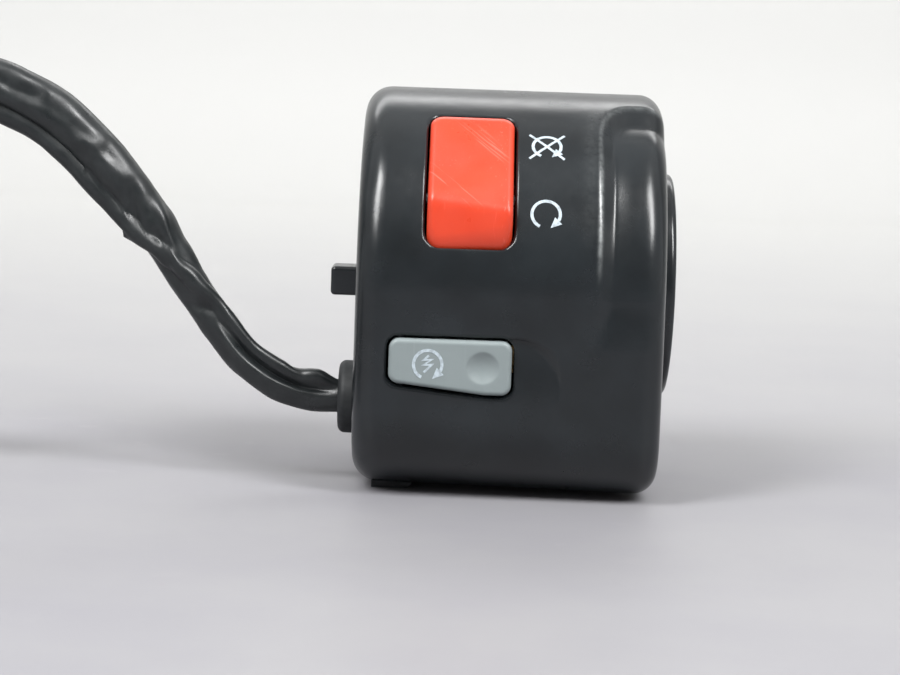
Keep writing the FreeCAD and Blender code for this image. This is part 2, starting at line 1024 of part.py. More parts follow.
def side_lug():
    """Small square lug on the left wall."""
    block = box(
        "side_lug_block",
        book.lug_reach + book.wall / 2,
        book.lug_depth,
        book.lug_height,
        (left_face - book.lug_reach, -book.lug_front, book.lug_foot),
    )
    end = left_face.value - book.lug_reach.value
    return rounded(
        "side_lug", block, book.lug_round, lambda edge: edge.BoundBox.XMax < end + TINY
    )


def foot_tab():
    """Thin tab under the case, with a ramp at its right end."""
    tab = document.addObject("PartDesign::Body", "foot_tab")
    top = -(book.case_floor - book.wall / 2)
    foot = -(book.case_floor + book.tab_height)
    end = book.tab_start + book.tab_length
    outline = [
        ((book.tab_start, foot), None),
        ((end, foot), None),
        ((end + book.tab_ramp, foot + book.tab_ramp), None),
        ((end + book.tab_ramp, top), None),
        ((book.tab_start, top), None),
    ]
    pad(tab, outline_sketch(tab, "foot_tab_outline", "XZ_Plane", outline), "foot_tab_pad", book.tab_depth)
    place(tab, (0, book.tab_depth / 2 - book.tab_front, 0))
    return [tab]


def band_backing():
    """Thicker wall behind the band's recess."""
    start = book.band_start - book.wall
    length = right_face - book.wall / 2 - start
    middle = start + length / 2
    outside = half_block("band_backing_outside", "rider", book.wall / 2, length, middle)
    inside = half_block("band_backing_inside", "rider", book.wall + book.band_depth, length, middle)
    return [without("band_backing", outside, inside)]


def harness_supports():
    """Cradle rib under the harness and the post of its clamp."""
    underside = book.grommet_height - cord_radius - book.cradle_gap
    floor = -(book.case_floor - book.wall / 2)
    cradle = box(
        "harness_cradle",
        book.clamp_width,
        book.cord_diameter,
        underside - floor,
        (clamp_start, -book.grommet_depth - cord_radius, floor),
    )
    post = cylinder(
        "clamp_post",
        book.post_radius,
        clamp_underside() - floor,
        (clamp_start + book.clamp_width / 2, -book.clamp_post_depth, floor),
    )
    return [cradle, post]


def clamp_underside():
    """The clamp bears on top of the sleeve."""
    return book.grommet_height + cord_radius + book.cradle_gap


def clamp_hole():
    """Screw hole in the clamp's post."""
    return cylinder(
        "clamp_post_hole",
        book.small_screw_radius,
        book.small_screw_bite,
        (
            clamp_start + book.clamp_width / 2,
            -book.clamp_post_depth,
            clamp_underside() - book.small_screw_bite,
        ),
    )


# Stop switch


def stop_rocker():
    """Red rocker with a ridge across it, a barrel on the pin and an arm below."""
    body = document.addObject("PartDesign::Body", "rocker_cap")
    sweep = book.rocker_sweep
    crest = book.case_radius + book.rocker_ridge_rise
    outline = [
        ((-sweep, rocker_underside), None),
        ((sweep, rocker_underside), None),
        ((sweep, crest - book.rocker_upper_drop), None),
        ((book.rocker_ridge, crest), None),
        ((-sweep, crest - book.rocker_lower_drop), None),
    ]
    sketch = outline_sketch(body, "rocker_outline", "YZ_Plane", outline)
    pad(body, sketch, "rocker_pad", book.rocker_width)
    place(body, (book.rocker_x, 0, 0))
    cap = shared("rocker_cap_trimmed", [body, swept_block("rocker_envelope", as_size(0))])
    face = crest.value - book.rocker_lower_drop.value - TINY
    cap = rounded(
        "rocker_cap_rounded", cap, book.rocker_round, lambda edge: edge.BoundBox.ZMin > face
    )
    hollow = box(
        "rocker_hollow",
        book.rocker_width - book.rocker_skin * 2,
        (sweep - book.rocker_end_wall) * 2,
        book.rocker_skin * 2,
        (rocker_left + book.rocker_skin, book.rocker_end_wall - sweep, rocker_underside),
    )
    barrel = cylinder(
        "rocker_barrel", book.rocker_barrel, book.rocker_width, (rocker_left, 0, rocker_pivot), ALONG_X
    )
    arm_top = rocker_underside + book.arm_root
    arm = box(
        "rocker_arm",
        book.arm_width,
        book.arm_thickness,
        book.arm_reach + arm_top - rocker_pivot,
        (
            book.rocker_x - book.arm_width / 2,
            -book.arm_thickness / 2,
            rocker_pivot - book.arm_reach,
        ),
    )
    tip = cylinder(
        "rocker_arm_tip",
        book.arm_tip_radius,
        book.arm_width,
        (book.rocker_x - book.arm_width / 2, 0, rocker_pivot - book.arm_reach),
        ALONG_X,
    )
    core = joined("rocker_core", [without("rocker_cap_hollow", cap, hollow), barrel, arm, tip])
    hole = cylinder(
        "rocker_bore",
        book.rocker_pin_radius + book.pin_clearance,
        book.case_width,
        (rocker_left - book.wall, 0, rocker_pivot),
        ALONG_X,
    )
    keep("stop_rocker", lean_back(without("rocker", core, hole), book.stop_angle))


def rocker_pivot_pin():
    """Steel hinge pin of the rocker."""
    pin = cylinder(
        "rocker_pin", book.rocker_pin_radius, rocker_pin_length(), (left_pillar, 0, rocker_pivot), ALONG_X
    )
    keep("rocker_pivot_pin", lean_back(group("rocker_pin_leaned", [pin]), book.stop_angle))


slider_left = book.rocker_x - book.slider_length / 2
slider_foot = stop_base_top + book.slider_lift


def stop_slider():
    """Carrier that the rocker's arm moves, with pockets for the bridge and the detent."""
    block = box(
        "slider_block",
        book.slider_length,
        book.slider_depth,
        book.slider_height,
        (slider_left, -book.slider_depth / 2, slider_foot),
    )
    slot_depth = book.arm_tip_radius * 2 + book.slot_clearance * 2
    slot = box(
        "slider_slot",
        book.arm_width + book.slot_clearance * 2,
        slot_depth,
        book.slider_height,
        (
            book.rocker_x - book.arm_width / 2 - book.slot_clearance,
            -slot_depth / 2,
            slider_foot + book.slot_floor,
        ),
    )
    pocket = box(
        "bridge_pocket",
        book.bridge_length,
        book.bridge_width,
        book.bridge_thickness,
        (book.rocker_x - book.bridge_length / 2, -book.bridge_width / 2, slider_foot),
    )
    detent = cylinder(
        "detent_pocket",
        book.detent_ball_radius + book.screw_hole_gap,
        book.detent_pocket,
        (slider_left, 0, slider_foot + book.detent_height),
        ALONG_X,
    )
    tools = joined("slider_tools", [slot, pocket, detent])
    keep("stop_slider", lean_back(without("slider", block, tools), book.stop_angle))


def stop_bridge():
    """Brass strip with two domed contacts under the carrier."""
    strip = box(
        "bridge_strip",
        book.bridge_length,
        book.bridge_width,
        book.bridge_thickness,
        (book.rocker_x - book.bridge_length / 2, -book.bridge_width / 2, slider_foot),
    )
    domes = [
        cylinder(
            f"bridge_dome_{side}",
            book.bridge_dome_radius,
            book.slider_lift - book.contact_rise,
            (book.rocker_x + book.contact_spacing * step, 0, stop_base_top + book.contact_rise),
        )
        for side, step in (("left", -0.5), ("right", 0.5))
    ]
    keep("stop_bridge", lean_back(joined("bridge", [strip] + domes), book.stop_angle))


def detent():
    """Ball that clicks against the left pillar, and its spring in the carrier."""
    height = slider_foot + book.detent_height
    ball_x = slider_left - book.detent_ball_radius
    ball = sphere("detent_ball_solid", book.detent_ball_radius, (ball_x + book.slot_clearance, 0, height))
    keep("detent_ball", lean_back(group("detent_ball_leaned", [ball]), book.stop_angle))
    start = slider_left + book.detent_spring_gap
    sleeve = cylinder(
        "detent_spring_outside",
        book.detent_ball_radius,
        slider_left + book.detent_pocket - start,
        (start, 0, height),
        ALONG_X,
    )
    inside = cylinder(
        "detent_spring_inside",
        book.detent_spring_bore,
        book.detent_pocket,
        (start - book.slot_clearance, 0, height),
        ALONG_X,
    )
    keep("detent_spring", lean_back(without("detent_spring_tube", sleeve, inside), book.stop_angle))


def stop_contact_base():
    """Insulating plate under the carrier, screwed to the pillars."""
    length = right_pillar + book.pillar_thickness - left_pillar
    plate = box(
        "stop_base_plate",
        length,
        book.stop_base_depth,
        book.base_thickness,
        (left_pillar, -book.stop_base_depth / 2, stop_base_under),
    )
    holes = []
    for name, middle in pillar_screw_places():
        holes.append(
            cylinder(
                f"{name}_base_hole",
                book.small_screw_radius + book.screw_hole_gap,
                book.base_thickness,
                (middle, 0, stop_base_under),
            )
        )
        holes.append(
            cylinder(
                f"{name}_base_head_room",
                book.small_head_radius + book.screw_hole_gap,
                book.small_head_height,
                (middle, 0, stop_base_under),
            )
        )
    keep(
        "stop_contact_base",
        lean_back(without("stop_base", plate, joined("stop_base_holes", holes)), book.stop_angle),
    )


def stop_fixed_contacts():
    """Two brass pads on the stop base, each with a tail for its lead."""
    pads = []
    for side, step in (("left", -0.5), ("right", 0.5)):
        middle = book.rocker_x + book.contact_spacing * step
        disc = cylinder(
            f"{side}_contact_disc",
            book.contact_radius,
            book.pad_thickness,
            (middle, 0, stop_base_top),
        )
        tail = box(
            f"{side}_contact_tail",
            book.tail_width,
            book.tab_tail,
            book.pad_thickness,
            (middle - book.tail_width / 2, -book.tab_tail, stop_base_top),
        )
        pads.append(joined(f"{side}_fixed_contact", [disc, tail]))
    keep("stop_fixed_contacts", lean_back(group("stop_contact_pair", pads), book.stop_angle))


def small_screw(name, at, turn):
    """A small countersunk screw whose head starts at a point and whose shank follows the turn."""
    way = turn.multVec(Vector(0, 0, 1))
    head = cylinder(f"{name}_head", book.small_head_radius, book.small_head_height, at, turn)
    inward = [
        as_size(amount) + book.small_head_height * round(step)
        for amount, step in zip(at, (way.x, way.y, way.z))
    ]
    shank = cylinder(
        f"{name}_shank",
        book.small_screw_radius,
        book.small_screw_bite + book.base_thickness - book.small_head_height - book.slot_clearance,
        inward,
        turn,
    )
    return joined(name, [head, shank])


def stop_base_screws():
    """The two screws that hold the stop base on the pillars."""
    screws = [
        small_screw(f"stop_{name}_screw", (middle, 0, stop_base_under), ALONG_Z)
        for name, middle in pillar_screw_places()
    ]
    keep("stop_base_screws", lean_back(group("stop_screw_pair", screws), book.stop_angle))


# Start switch


def start_button():
    """Grey rocking button with a thumb dimple, a nib behind it and a bore for its pin."""
    length = button_front - button_back
    block = button_block("button_block", as_size(0), length)
    place(block, (0, -(button_front + button_back) / 2, 0))
    front = -button_front.value
    block = rounded(
        "button_rounded", block, book.button_edge, lambda edge: edge.BoundBox.YMax < front + TINY
    )
    ball_radius = (
        book.dimple_radius * book.dimple_radius / book.dimple_depth + book.dimple_depth
    ) / 2
    dimple = sphere(
        "button_dimple",
        ball_radius,
        (book.dimple_x, -(button_front + ball_radius - book.dimple_depth), book.dimple_height),
    )
    hollow_left = book.button_pivot_x + book.ear_width / 2
    hollow = box(
        "button_hollow",
        book.button_right - book.button_skin - hollow_left,
        length - book.button_front_wall,
        book.button_top - book.button_left_foot - book.button_skin * 2,
        (
            hollow_left,
            -(button_front - book.button_front_wall),
            book.button_left_foot + book.button_skin,
        ),
    )
    bore = cylinder(
        "button_bore",
        book.button_pin_radius + book.pin_clearance,
        book.case_width,
        (book.button_pivot_x, -button_pivot_depth, -book.case_width),
    )
    cuts = joined("button_cuts", [dimple, hollow, bore])
    nib = box(
        "button_nib",
        book.nib_width,
        button_front - book.button_skin * 2 - nib_end,
        book.nib_width,
        (
            plunger_x - book.nib_width / 2,
            -(button_front - book.button_skin * 2),
            plunger_height - book.nib_width / 2,
        ),
    )
    keep("start_button", joined("start_button_solid", [without("button_cut", block, cuts), nib]))


def start_pivot_pin():
    """Steel hinge pin of the start button."""
    keep(
        "start_pivot_pin",
        cylinder(
            "button_pin",
            book.button_pin_radius,
            button_pin_length(),
            (book.button_pivot_x, -button_pivot_depth, button_pin_foot()),
        ),
    )


def start_plunger():
    """Plunger that the button pushes, with the collar that the spring bears on."""
    head = cylinder(
        "plunger_head",
        book.plunger_head_radius,
        book.plunger_head_height,
        (plunger_x, -plunger_front, plunger_height),
        ALONG_Y,
    )
    stem = cylinder(
        "plunger_stem",
        book.plunger_radius,
        plunger_front - start_base_back + book.plunger_tail,
        (plunger_x, -plunger_front, plunger_height),
        ALONG_Y,
    )
    collar = cylinder(
        "plunger_collar",
        book.collar_radius,
        book.collar_thickness,
        (plunger_x, -(book.collar_depth + book.collar_thickness), plunger_height),
        ALONG_Y,
    )
    keep("start_plunger", joined("plunger", [head, stem, collar]))


def start_bridge():
    """Brass strip behind the collar, with two contacts."""
    strip = box(
        "start_strip",
        book.start_bridge_length,
        book.bridge_thickness,
        book.start_bridge_width,
        (
            plunger_x - book.start_bridge_length / 2,
            -book.collar_depth,
            plunger_height - book.start_bridge_width / 2,
        ),
    )
    tips = [
        cylinder(
            f"start_tip_{side}",
            book.start_contact_radius,
            book.bridge_thickness * 2,
            (plunger_x + book.start_contact_spacing * step, -book.collar_depth, plunger_height),
            ALONG_Y,
        )
        for side, step in (("left", -0.5), ("right", 0.5))
    ]
    hole = cylinder(
        "start_strip_hole",
        book.plunger_radius + book.pin_clearance,
        book.wall * 2,
        (plunger_x, -book.collar_depth - book.wall, plunger_height),
        ALONG_Y,
    )
    bridge = joined("start_strip_and_tips", [strip] + tips)
    keep("start_bridge", without("start_bridge_solid", bridge, hole))


def start_contact_base():
    """Plate that guides the plunger and carries the two fixed posts."""
    plate = box(
        "start_base_plate",
        book.start_base_width,
        book.base_thickness,
        book.start_base_height,
        (
            plunger_x - book.start_base_width / 2,
            -book.start_base_front,
            book.start_base_top - book.start_base_height,
        ),
    )
    holes = [
        cylinder(
            "plunger_guide",
            book.plunger_radius + book.pin_clearance,
            book.wall * 3,
            (plunger_x, -book.start_base_front - book.wall, plunger_height),
            ALONG_Y,
        )
    ]
    for name, height in start_screw_places():
        holes.append(
            cylinder(
                f"{name}_start_base_hole",
                book.small_screw_radius + book.screw_hole_gap,
                book.wall * 3,
                (plunger_x, -book.start_base_front - book.wall, height),
                ALONG_Y,
            )
        )
    keep("start_contact_base", without("start_base", plate, joined("start_base_holes", holes)))


def start_fixed_contacts():
    """Two brass posts on the start base, with tails through it."""
    posts = [
        cylinder(
            f"start_post_{side}",
            book.start_contact_radius,
            book.start_post_height,
            (
                plunger_x + book.start_contact_spacing * step,
                -(book.start_base_front + book.start_post_height),
                plunger_height,
            ),
            ALONG_Y,
        )
        for side, step in (("left", -0.5), ("right", 0.5))
    ]
    keep("start_fixed_contacts", group("start_contact_pair", posts))


def start_base_screws():
    """The two screws that hold the start base on its posts."""
    turn = Rotation(Vector(1, 0, 0), 90)
    start = -(start_base_back - book.small_head_height)
    screws = [
        small_screw(f"start_{name}_screw", (plunger_x, start, height), turn)
        for name, height in start_screw_places()
    ]
    keep("start_base_screws", group("start_screw_pair", screws))


# Wound and routed tubes


def arc_leaving(start, way, end):
    """Middle point of the arc that leaves start along way and reaches end."""
    chord = end - start
    unit = Vector(chord).normalize()
    aside = way - unit * way.dot(unit)
    if aside.Length < TINY:
        return None
    lean = math.atan2(aside.Length, way.dot(unit))
    return (start + end) / 2 + aside.normalize() * (chord.Length / 2 * math.tan(lean / 2))


def biarc(start, start_way, end, end_way):
    """Two arcs that leave start along one direction and reach end along another."""
    chord = end - start
    spread = 2 * (1 - start_way.dot(end_way))
    along = chord.dot(start_way + end_way)
    reach = (math.sqrt(along * along + spread * chord.dot(chord)) - along) / spread
    middle = (start + end + (start_way - end_way) * reach) / 2
    first = arc_leaving(start, start_way, middle)
    second = arc_leaving(end, end_way * -1, middle)
    return [Part.Arc(start, first, middle).toShape(), Part.Arc(middle, second, end).toShape()]


def tube_along(edges, start, way, radius):
    """A round tube along a path."""
    ring = Part.Wire([Part.makeCircle(radius, start, way)])
    return Part.Wire(edges).makePipeShell([ring], True, False)


def wound_edges(stations):
    """Biarcs through points with their directions."""
    edges = []
    for (start, start_way), (end, end_way) in zip(stations, stations[1:]):
        edges += biarc(start, start_way, end, end_way)
    return edges


def routed_edges(points, radii):
    """Straight runs joined by tangent arcs; the arcs' radii are added to a list."""
    runs = [(after - before).Length for before, after in zip(points, points[1:])]
    ways = [Vector(after - before).normalize() for before, after in zip(points, points[1:])]
    edges = []
    here = points[0]
    for index in range(1, len(points) - 1):
        turn = ways[index - 1].getAngle(ways[index])
        cut = RUN_SHARE * min(runs[index - 1], runs[index])
        radii.append(cut / math.tan(turn / 2))
        arc_start = points[index] - ways[index - 1] * cut
        arc_end = points[index] + ways[index] * cut
        edges.append(Part.LineSegment(here, arc_start).toShape())
        middle = arc_leaving(arc_start, ways[index - 1], arc_end)
        edges.append(Part.Arc(arc_start, middle, arc_end).toShape())
        here = arc_end
    edges.append(Part.LineSegment(here, points[-1]).toShape())
    return edges


def report_tube(name, tube, edges, radius):
    """Print a tube's length and how its volume compares with its section times its length."""
    length = sum(edge.Length for edge in edges)
    share = tube.Volume / (math.pi * radius * radius * length)
    print(f"{name}: length {length:.1f} mm, volume over section times length {share:.4f}")


def start_return_spring():
    """Coil spring between the plunger's bridge and the start base."""
    wire = book.spring_wire.value / 2
    mean = book.spring_radius.value
    turns = int(book.spring_turns.value)
    gap = book.slot_clearance.value / 3
    first = -(book.collar_depth.value - book.bridge_thickness.value) + wire + gap
    last = -book.start_base_front.value - wire - gap
    rise = (last - first) / (turns * 2 * math.pi)
    stations = []
    for step in range(turns * 4 + 1):
        angle = step * QUARTER_TURN
        point = Vector(
            plunger_x.value + mean * math.cos(angle),
            first + rise * angle,
            plunger_height.value + mean * math.sin(angle),
        )
        way = Vector(-mean * math.sin(angle), rise, mean * math.cos(angle)).normalize()
        stations.append((point, way))
    edges = wound_edges(stations)
    spring = tube_along(edges, stations[0][0], stations[0][1], wire)
    report_tube("start_return_spring", spring, edges, wire)
    print(f"start_return_spring: gap between turns {rise * 2 * math.pi - 2 * wire:.2f} mm")
    keep("start_return_spring", solid("return_spring", spring))


# Harness


def harness_grommet():
    """Rubber grommet in the left wall, around the harness."""
    start = left_face - book.grommet_reach
    height = book.grommet_height
    outside = cylinder(
        "grommet_outer_flange",
        book.grommet_radius,
        book.grommet_reach,
        (start, -book.grommet_depth, height),
        ALONG_X,
    )
    rim = start.value
    outside = rounded(
        "grommet_rounded",
        outside,
        book.grommet_round,
        lambda edge: edge.Closed and abs(edge.BoundBox.XMax - rim) < TINY,
    )
    neck = cylinder(
        "grommet_neck",
        book.grommet_neck - book.pin_clearance,
        book.wall,
        (left_face, -book.grommet_depth, height),
        ALONG_X,
    )
    inside = cylinder(
        "grommet_inner_flange",
        book.grommet_inner_radius,
        book.grommet_inner_reach,
        (left_face + book.wall, -book.grommet_depth, height),
        ALONG_X,
    )
    bore = cylinder(
        "grommet_bore",
        cord_radius + book.cord_bore_gap,
        book.case_width,
        (left_face - book.case_width / 2, -book.grommet_depth, height),
        ALONG_X,
    )
    keep("harness_grommet", without("grommet", joined("grommet_solid", [outside, neck, inside]), bore))


def harness_clamp():
    """Bar that presses the sleeve onto its cradle, and its screw."""
    front = book.grommet_depth + cord_radius
    back = book.clamp_post_depth - book.post_radius
    bar = box(
        "clamp_bar",
        book.clamp_width,
        front - back,
        book.clamp_thickness,
        (clamp_start, -front, clamp_underside()),
    )
    middle = clamp_start + book.clamp_width / 2
    hole = cylinder(
        "clamp_bar_hole",
        book.small_screw_radius + book.screw_hole_gap,
        book.wall * 3,
        (middle, -book.clamp_post_depth, clamp_underside() - book.wall),
    )
    head_room = cylinder(
        "clamp_bar_head_room",
        book.post_radius,
        book.wall,
        (middle, -book.clamp_post_depth, clamp_underside() + book.clamp_thickness),
    )
    keep("harness_clamp", without("clamp", bar, joined("clamp_cuts", [hole, head_room])))
    screw = small_screw(
        "clamp_screw",
        (
            middle,
            -book.clamp_post_depth,
            clamp_underside() + book.clamp_thickness + book.small_head_height,
        ),
        Rotation(Vector(1, 0, 0), 180),
    )
    keep("harness_clamp_screw", screw)


def harness_lead():
    """Free stretch of the sleeved harness."""
    points = [Vector(*point) for point in HARNESS_ROUTE]
    radii = []
    edges = routed_edges(points, radii)
    radius = cord_radius.value
    tube = tube_along(edges, points[0], points[1] - points[0], radius)
    print("harness_lead radii:", " ".join(f"{amount:.1f}" for amount in radii))
    report_tube("harness_lead", tube, edges, radius)
    keep("harness_lead", solid("harness_lead_tube", tube))


def coil_stations():
    """Points and directions of the put-away coil from the lead's end to the plug, and its centre."""
    start = Vector(*HARNESS_ROUTE[-1])
    before = Vector(*HARNESS_ROUTE[-2])
    way = Vector(start.x - before.x, start.y - before.y, 0).normalize()
    entry = start + way * book.cord_diameter.value
    outer = book.coil_radius.value
    centre = entry + turned_right(way) * outer
    opening = math.atan2(way.x, -way.y)
    stations = [(start, way), (entry, way)]
    shrink = book.coil_pitch.value / (2 * math.pi)
    for step in range(1, round(book.coil_turns.value * 4) + 1):
        travelled = step * QUARTER_TURN
        stations.append(spiral_station(centre, opening - travelled, outer - shrink * travelled, shrink))
    last_point, last_way = stations[-1]
    tail_centre = last_point + turned_right(last_way) * book.tail_radius.value
    for share in (0.5, 1):
        turn = Rotation(Vector(0, 0, 1), -book.tail_turn.value * share)
        point = tail_centre + turn.multVec(last_point - tail_centre)
        stations.append((point, turn.multVec(last_way)))
    return stations, centre


def turned_right(way):
    """The level direction to the right of way."""
    return Vector(way.y, -way.x, 0)


def spiral_station(centre, angle, radius, shrink):
    """Point and direction of a clockwise spiral that draws in steadily."""
    point = centre + Vector(math.cos(angle), math.sin(angle), 0) * radius
    way = Vector(
        radius * math.sin(angle) - shrink * math.cos(angle),
        -radius * math.cos(angle) - shrink * math.sin(angle),
        0,
    )
    return point, way.normalize()


def harness_coil():
    """The put-away length, wound once and a quarter and turned in to the plug."""
    stations, _ = coil_stations()
    diameter = book.cord_diameter.value
    start, way = stations[0]
    edges = [Part.LineSegment(start, stations[1][0]).toShape()]
    edges += wound_edges(stations[1:])
    end, end_way = stations[-1]
    edges.append(Part.LineSegment(end, end + end_way * diameter).toShape())
    radius = cord_radius.value
    tube = tube_along(edges, start, way, radius)
    report_tube("harness_coil", tube, edges, radius)
    print(f"harness_coil: least gap to itself {least_gap(edges, diameter):.2f} mm")
    keep("harness_coil", solid("harness_coil_tube", tube))


def least_gap(edges, diameter):
    """Least free distance between stretches of a tube that lie over a few diameters apart along it."""
    points = [point for edge in edges for point in edge.discretize(Number=GAP_POINTS)[:-1]]
    reached = [0.0]
    for before, after in zip(points, points[1:]):
        reached.append(reached[-1] + (after - before).Length)
    nearest = math.inf
    for index, point in enumerate(points):
        for other in range(index + 1, len(points)):
            if reached[other] - reached[index] > diameter * NEIGHBOUR_DIAMETERS:
                nearest = min(nearest, (points[other] - point).Length)
    return nearest - diameter


def plug_frame():
    """Placement of the plug: its own X runs on from the cord's end."""
    stations, _ = coil_stations()
    end, way = stations[-1]
    face = end + way * book.cord_diameter.value
    heading = math.degrees(math.atan2(way.y, way.x))
    lift = -(book.case_floor.value + book.tab_height.value)
    return Placement(Vector(face.x, face.y, lift), Rotation(Vector(0, 0, 1), heading))


def connector():
    """Nylon plug at the far end: housing, terminals and lock."""
    frame = plug_frame()
    length, width, height = book.plug_length.value, book.plug_width.value, book.plug_height.value
    wall, mouth = book.plug_wall.value, book.plug_mouth.value
    body = Part.makeBox(length, width, height, Vector(0, -width / 2, 0))
    uprights = [edge for edge in body.Edges if edge.BoundBox.XLength > length - TINY]
    body = body.makeFillet(book.plug_round.value, uprights)
    hollow_corner = Vector(length - mouth, wall - width / 2, wall)
    hollow = Part.makeBox(mouth, width - wall * 2, height - wall * 2, hollow_corner)
    body = body.cut(hollow)
    blades = []
    blade_width = book.pin_width.value
    blade_length = mouth - wall
    for row in (-0.5, 0.5):
        for column in (-1, 0, 1):
            corner = Vector(
                length - mouth,
                column * book.pin_spacing.value - blade_width / 2,
                height / 2 + row * book.pin_spacing.value - blade_width / 2,
            )
            blades.append(Part.makeBox(blade_length, blade_width, blade_width, corner))
    latch_width, lift = book.latch_width.value, book.latch_lift.value
    latch_start = Vector(length - book.latch_length.value, -latch_width / 2, height)
    latch = Part.makeBox(
        book.latch_length.value,
        latch_width,
        book.latch_thickness.value,
        latch_start + Vector(0, 0, lift),
    )
    foot = Part.makeBox(book.latch_foot.value, latch_width, lift, latch_start)
    for node, shape in (
        ("connector_housing", body),
        ("connector_terminals", Part.makeCompound(blades)),
        ("connector_lock", latch.fuse(foot).removeSplitter()),
    ):
        feature = solid(f"{node}_solid", shape)
        feature.Placement = frame
        keep(node, feature)


def harness_tie():
    """Strap round the two turns where they lie side by side."""
    stations, centre = coil_stations()
    outward = stations[1][0] - centre
    angle = book.tie_angle.value
    heading = math.degrees(math.atan2(outward.y, outward.x)) - angle
    turn = Rotation(Vector(0, 0, 1), heading)
    middle = book.coil_radius.value - book.coil_pitch.value * (angle / 360 + 0.5)
    place_at = centre + turn.multVec(Vector(middle, 0, 0))
    thick = book.tie_thickness.value
    bore = cord_radius.value + book.tie_gap.value
    outside = strap_block(bore + thick, book.tie_width.value)
    inside = strap_block(bore, book.tie_width.value * 2)
    feature = solid("harness_tie_solid", outside.cut(inside))
    feature.Placement = Placement(place_at, turn)
    keep("harness_tie", feature)


def strap_block(radius, width):
    """A flat-sided, round-ended block that holds two turns a pitch apart."""
    half = book.coil_pitch.value / 2
    low, high = Vector(0, 0, -radius), Vector(0, 0, radius)
    left, right = Vector(-half, 0, 0), Vector(half, 0, 0)
    edges = [
        Part.LineSegment(left + low, right + low).toShape(),
        Part.Arc(right + low, right + Vector(radius, 0, 0), right + high).toShape(),
        Part.LineSegment(right + high, left + high).toShape(),
        Part.Arc(left + high, left - Vector(radius, 0, 0), left + low).toShape(),
    ]
    block = Part.Face(Part.Wire(edges)).extrude(Vector(0, width, 0))
    block.translate(Vector(0, -width / 2, 0))
    return block


def sleeve_end():
    """The sleeve's end inside the case, where the leads come out."""
    keep(
        "sleeve_end",
        cylinder(
            "sleeve_end_solid",
            cord_radius,
            sleeve_face - book.sleeve_start,
            (book.sleeve_start, -book.grommet_depth, book.grommet_height),
            ALONG_X,
        ),
    )


def leads(node, routes, height_step, tail_end):
    """Two thin leads of a switch, from the sleeve's end along their routes."""
    tubes = []
    spread = book.lead_spread.value
    depth, height = book.grommet_depth.value, book.grommet_height.value
    face = Vector(sleeve_face.value, 0, 0)
    for side, (near, far) in zip((1, -1), routes):
        start = face + Vector(0, side * spread - depth, height_step * spread + height)
        square = start + Vector(book.lead_straight.value, 0, 0)
        points = [start, square] + [face + Vector(*point) for point in near]
        points += [Vector(*point) for point in far]
        if tail_end:
            points.append(Vector(points[-1].x, *tail_end))
        edges = routed_edges(points, [])
        tubes.append(tube_along(edges, start, square - start, book.lead_radius.value))
    keep(node, solid(f"{node}_tubes", Part.makeCompound(tubes)))


def stop_tail_end():
    """Where the tails of the stop contacts end, across and above the bar."""
    angle = math.radians(book.stop_angle.value)
    out = stop_base_top.value + book.contact_rise.value / 2
    along = -(book.tab_tail + book.lead_gap).value
    return (
        along * math.sin(angle) - out * math.cos(angle),
        along * math.cos(angle) + out * math.sin(angle),
    )


switch_housing()
clamp_housing()
case_screws()
stop_rocker()
rocker_pivot_pin()
stop_slider()
stop_bridge()
detent()
stop_contact_base()
stop_fixed_contacts()
stop_base_screws()
start_button()
start_pivot_pin()
start_plunger()
start_bridge()
start_contact_base()
start_fixed_contacts()
start_base_screws()
start_return_spring()
harness_grommet()
harness_clamp()
sleeve_end()
leads("stop_leads", STOP_LEAD_ROUTES, 1, stop_tail_end())
leads("start_leads", START_LEAD_ROUTES, -1, None)
harness_lead()
harness_coil()
harness_tie()
connector()

document.recompute()
for thing in document.Objects:
    if "Invalid" in thing.State or "Error" in thing.State:
        raise SystemExit(f"{thing.Label} failed: {thing.State}")
os.makedirs("parts", exist_ok=True)
for node, thing in parts.items():
    if thing.Shape.isNull() or not thing.Shape.isValid():
        raise SystemExit(f"{node} has no valid shape")
    print(node, len(thing.Shape.Solids), round(thing.Shape.Volume, 1))
    thing.Shape.exportStep(f"parts/{node}.step")
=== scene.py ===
import logging
import math
from dataclasses import dataclass, field
from enum import Enum
from typing import Callable, Iterable, Optional, Sequence

import bmesh
import bpy
from mathutils import Matrix, Vector, noise


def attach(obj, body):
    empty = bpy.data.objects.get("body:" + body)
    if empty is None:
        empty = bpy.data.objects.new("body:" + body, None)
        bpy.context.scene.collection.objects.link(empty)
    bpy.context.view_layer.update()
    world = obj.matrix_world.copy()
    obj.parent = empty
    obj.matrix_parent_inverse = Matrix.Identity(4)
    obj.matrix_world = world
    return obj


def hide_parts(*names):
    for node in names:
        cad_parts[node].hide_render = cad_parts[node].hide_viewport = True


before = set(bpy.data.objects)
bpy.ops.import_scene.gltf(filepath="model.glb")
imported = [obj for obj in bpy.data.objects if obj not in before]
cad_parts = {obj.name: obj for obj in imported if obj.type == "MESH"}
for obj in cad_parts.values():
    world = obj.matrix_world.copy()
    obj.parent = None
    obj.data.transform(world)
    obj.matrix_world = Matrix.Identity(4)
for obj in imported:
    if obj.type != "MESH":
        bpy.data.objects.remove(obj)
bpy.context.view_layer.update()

logging.basicConfig(level=logging.INFO, format="%(message)s")
report = logging.getLogger("handlebar_switch")

MM = 0.001
QUARTER = math.pi / 2
Corner = tuple[float, float]
Colour = tuple[float, float, float]


class Operation(Enum):
    """How one solid acts on another."""

    CUT = "DIFFERENCE"
    ADD = "UNION"
    SHARE = "INTERSECT"


class Side(Enum):
    """The two halves of the case: which way each lies from the parting plane."""

    RIDER = -1
    FRONT = 1


# Mesh helpers


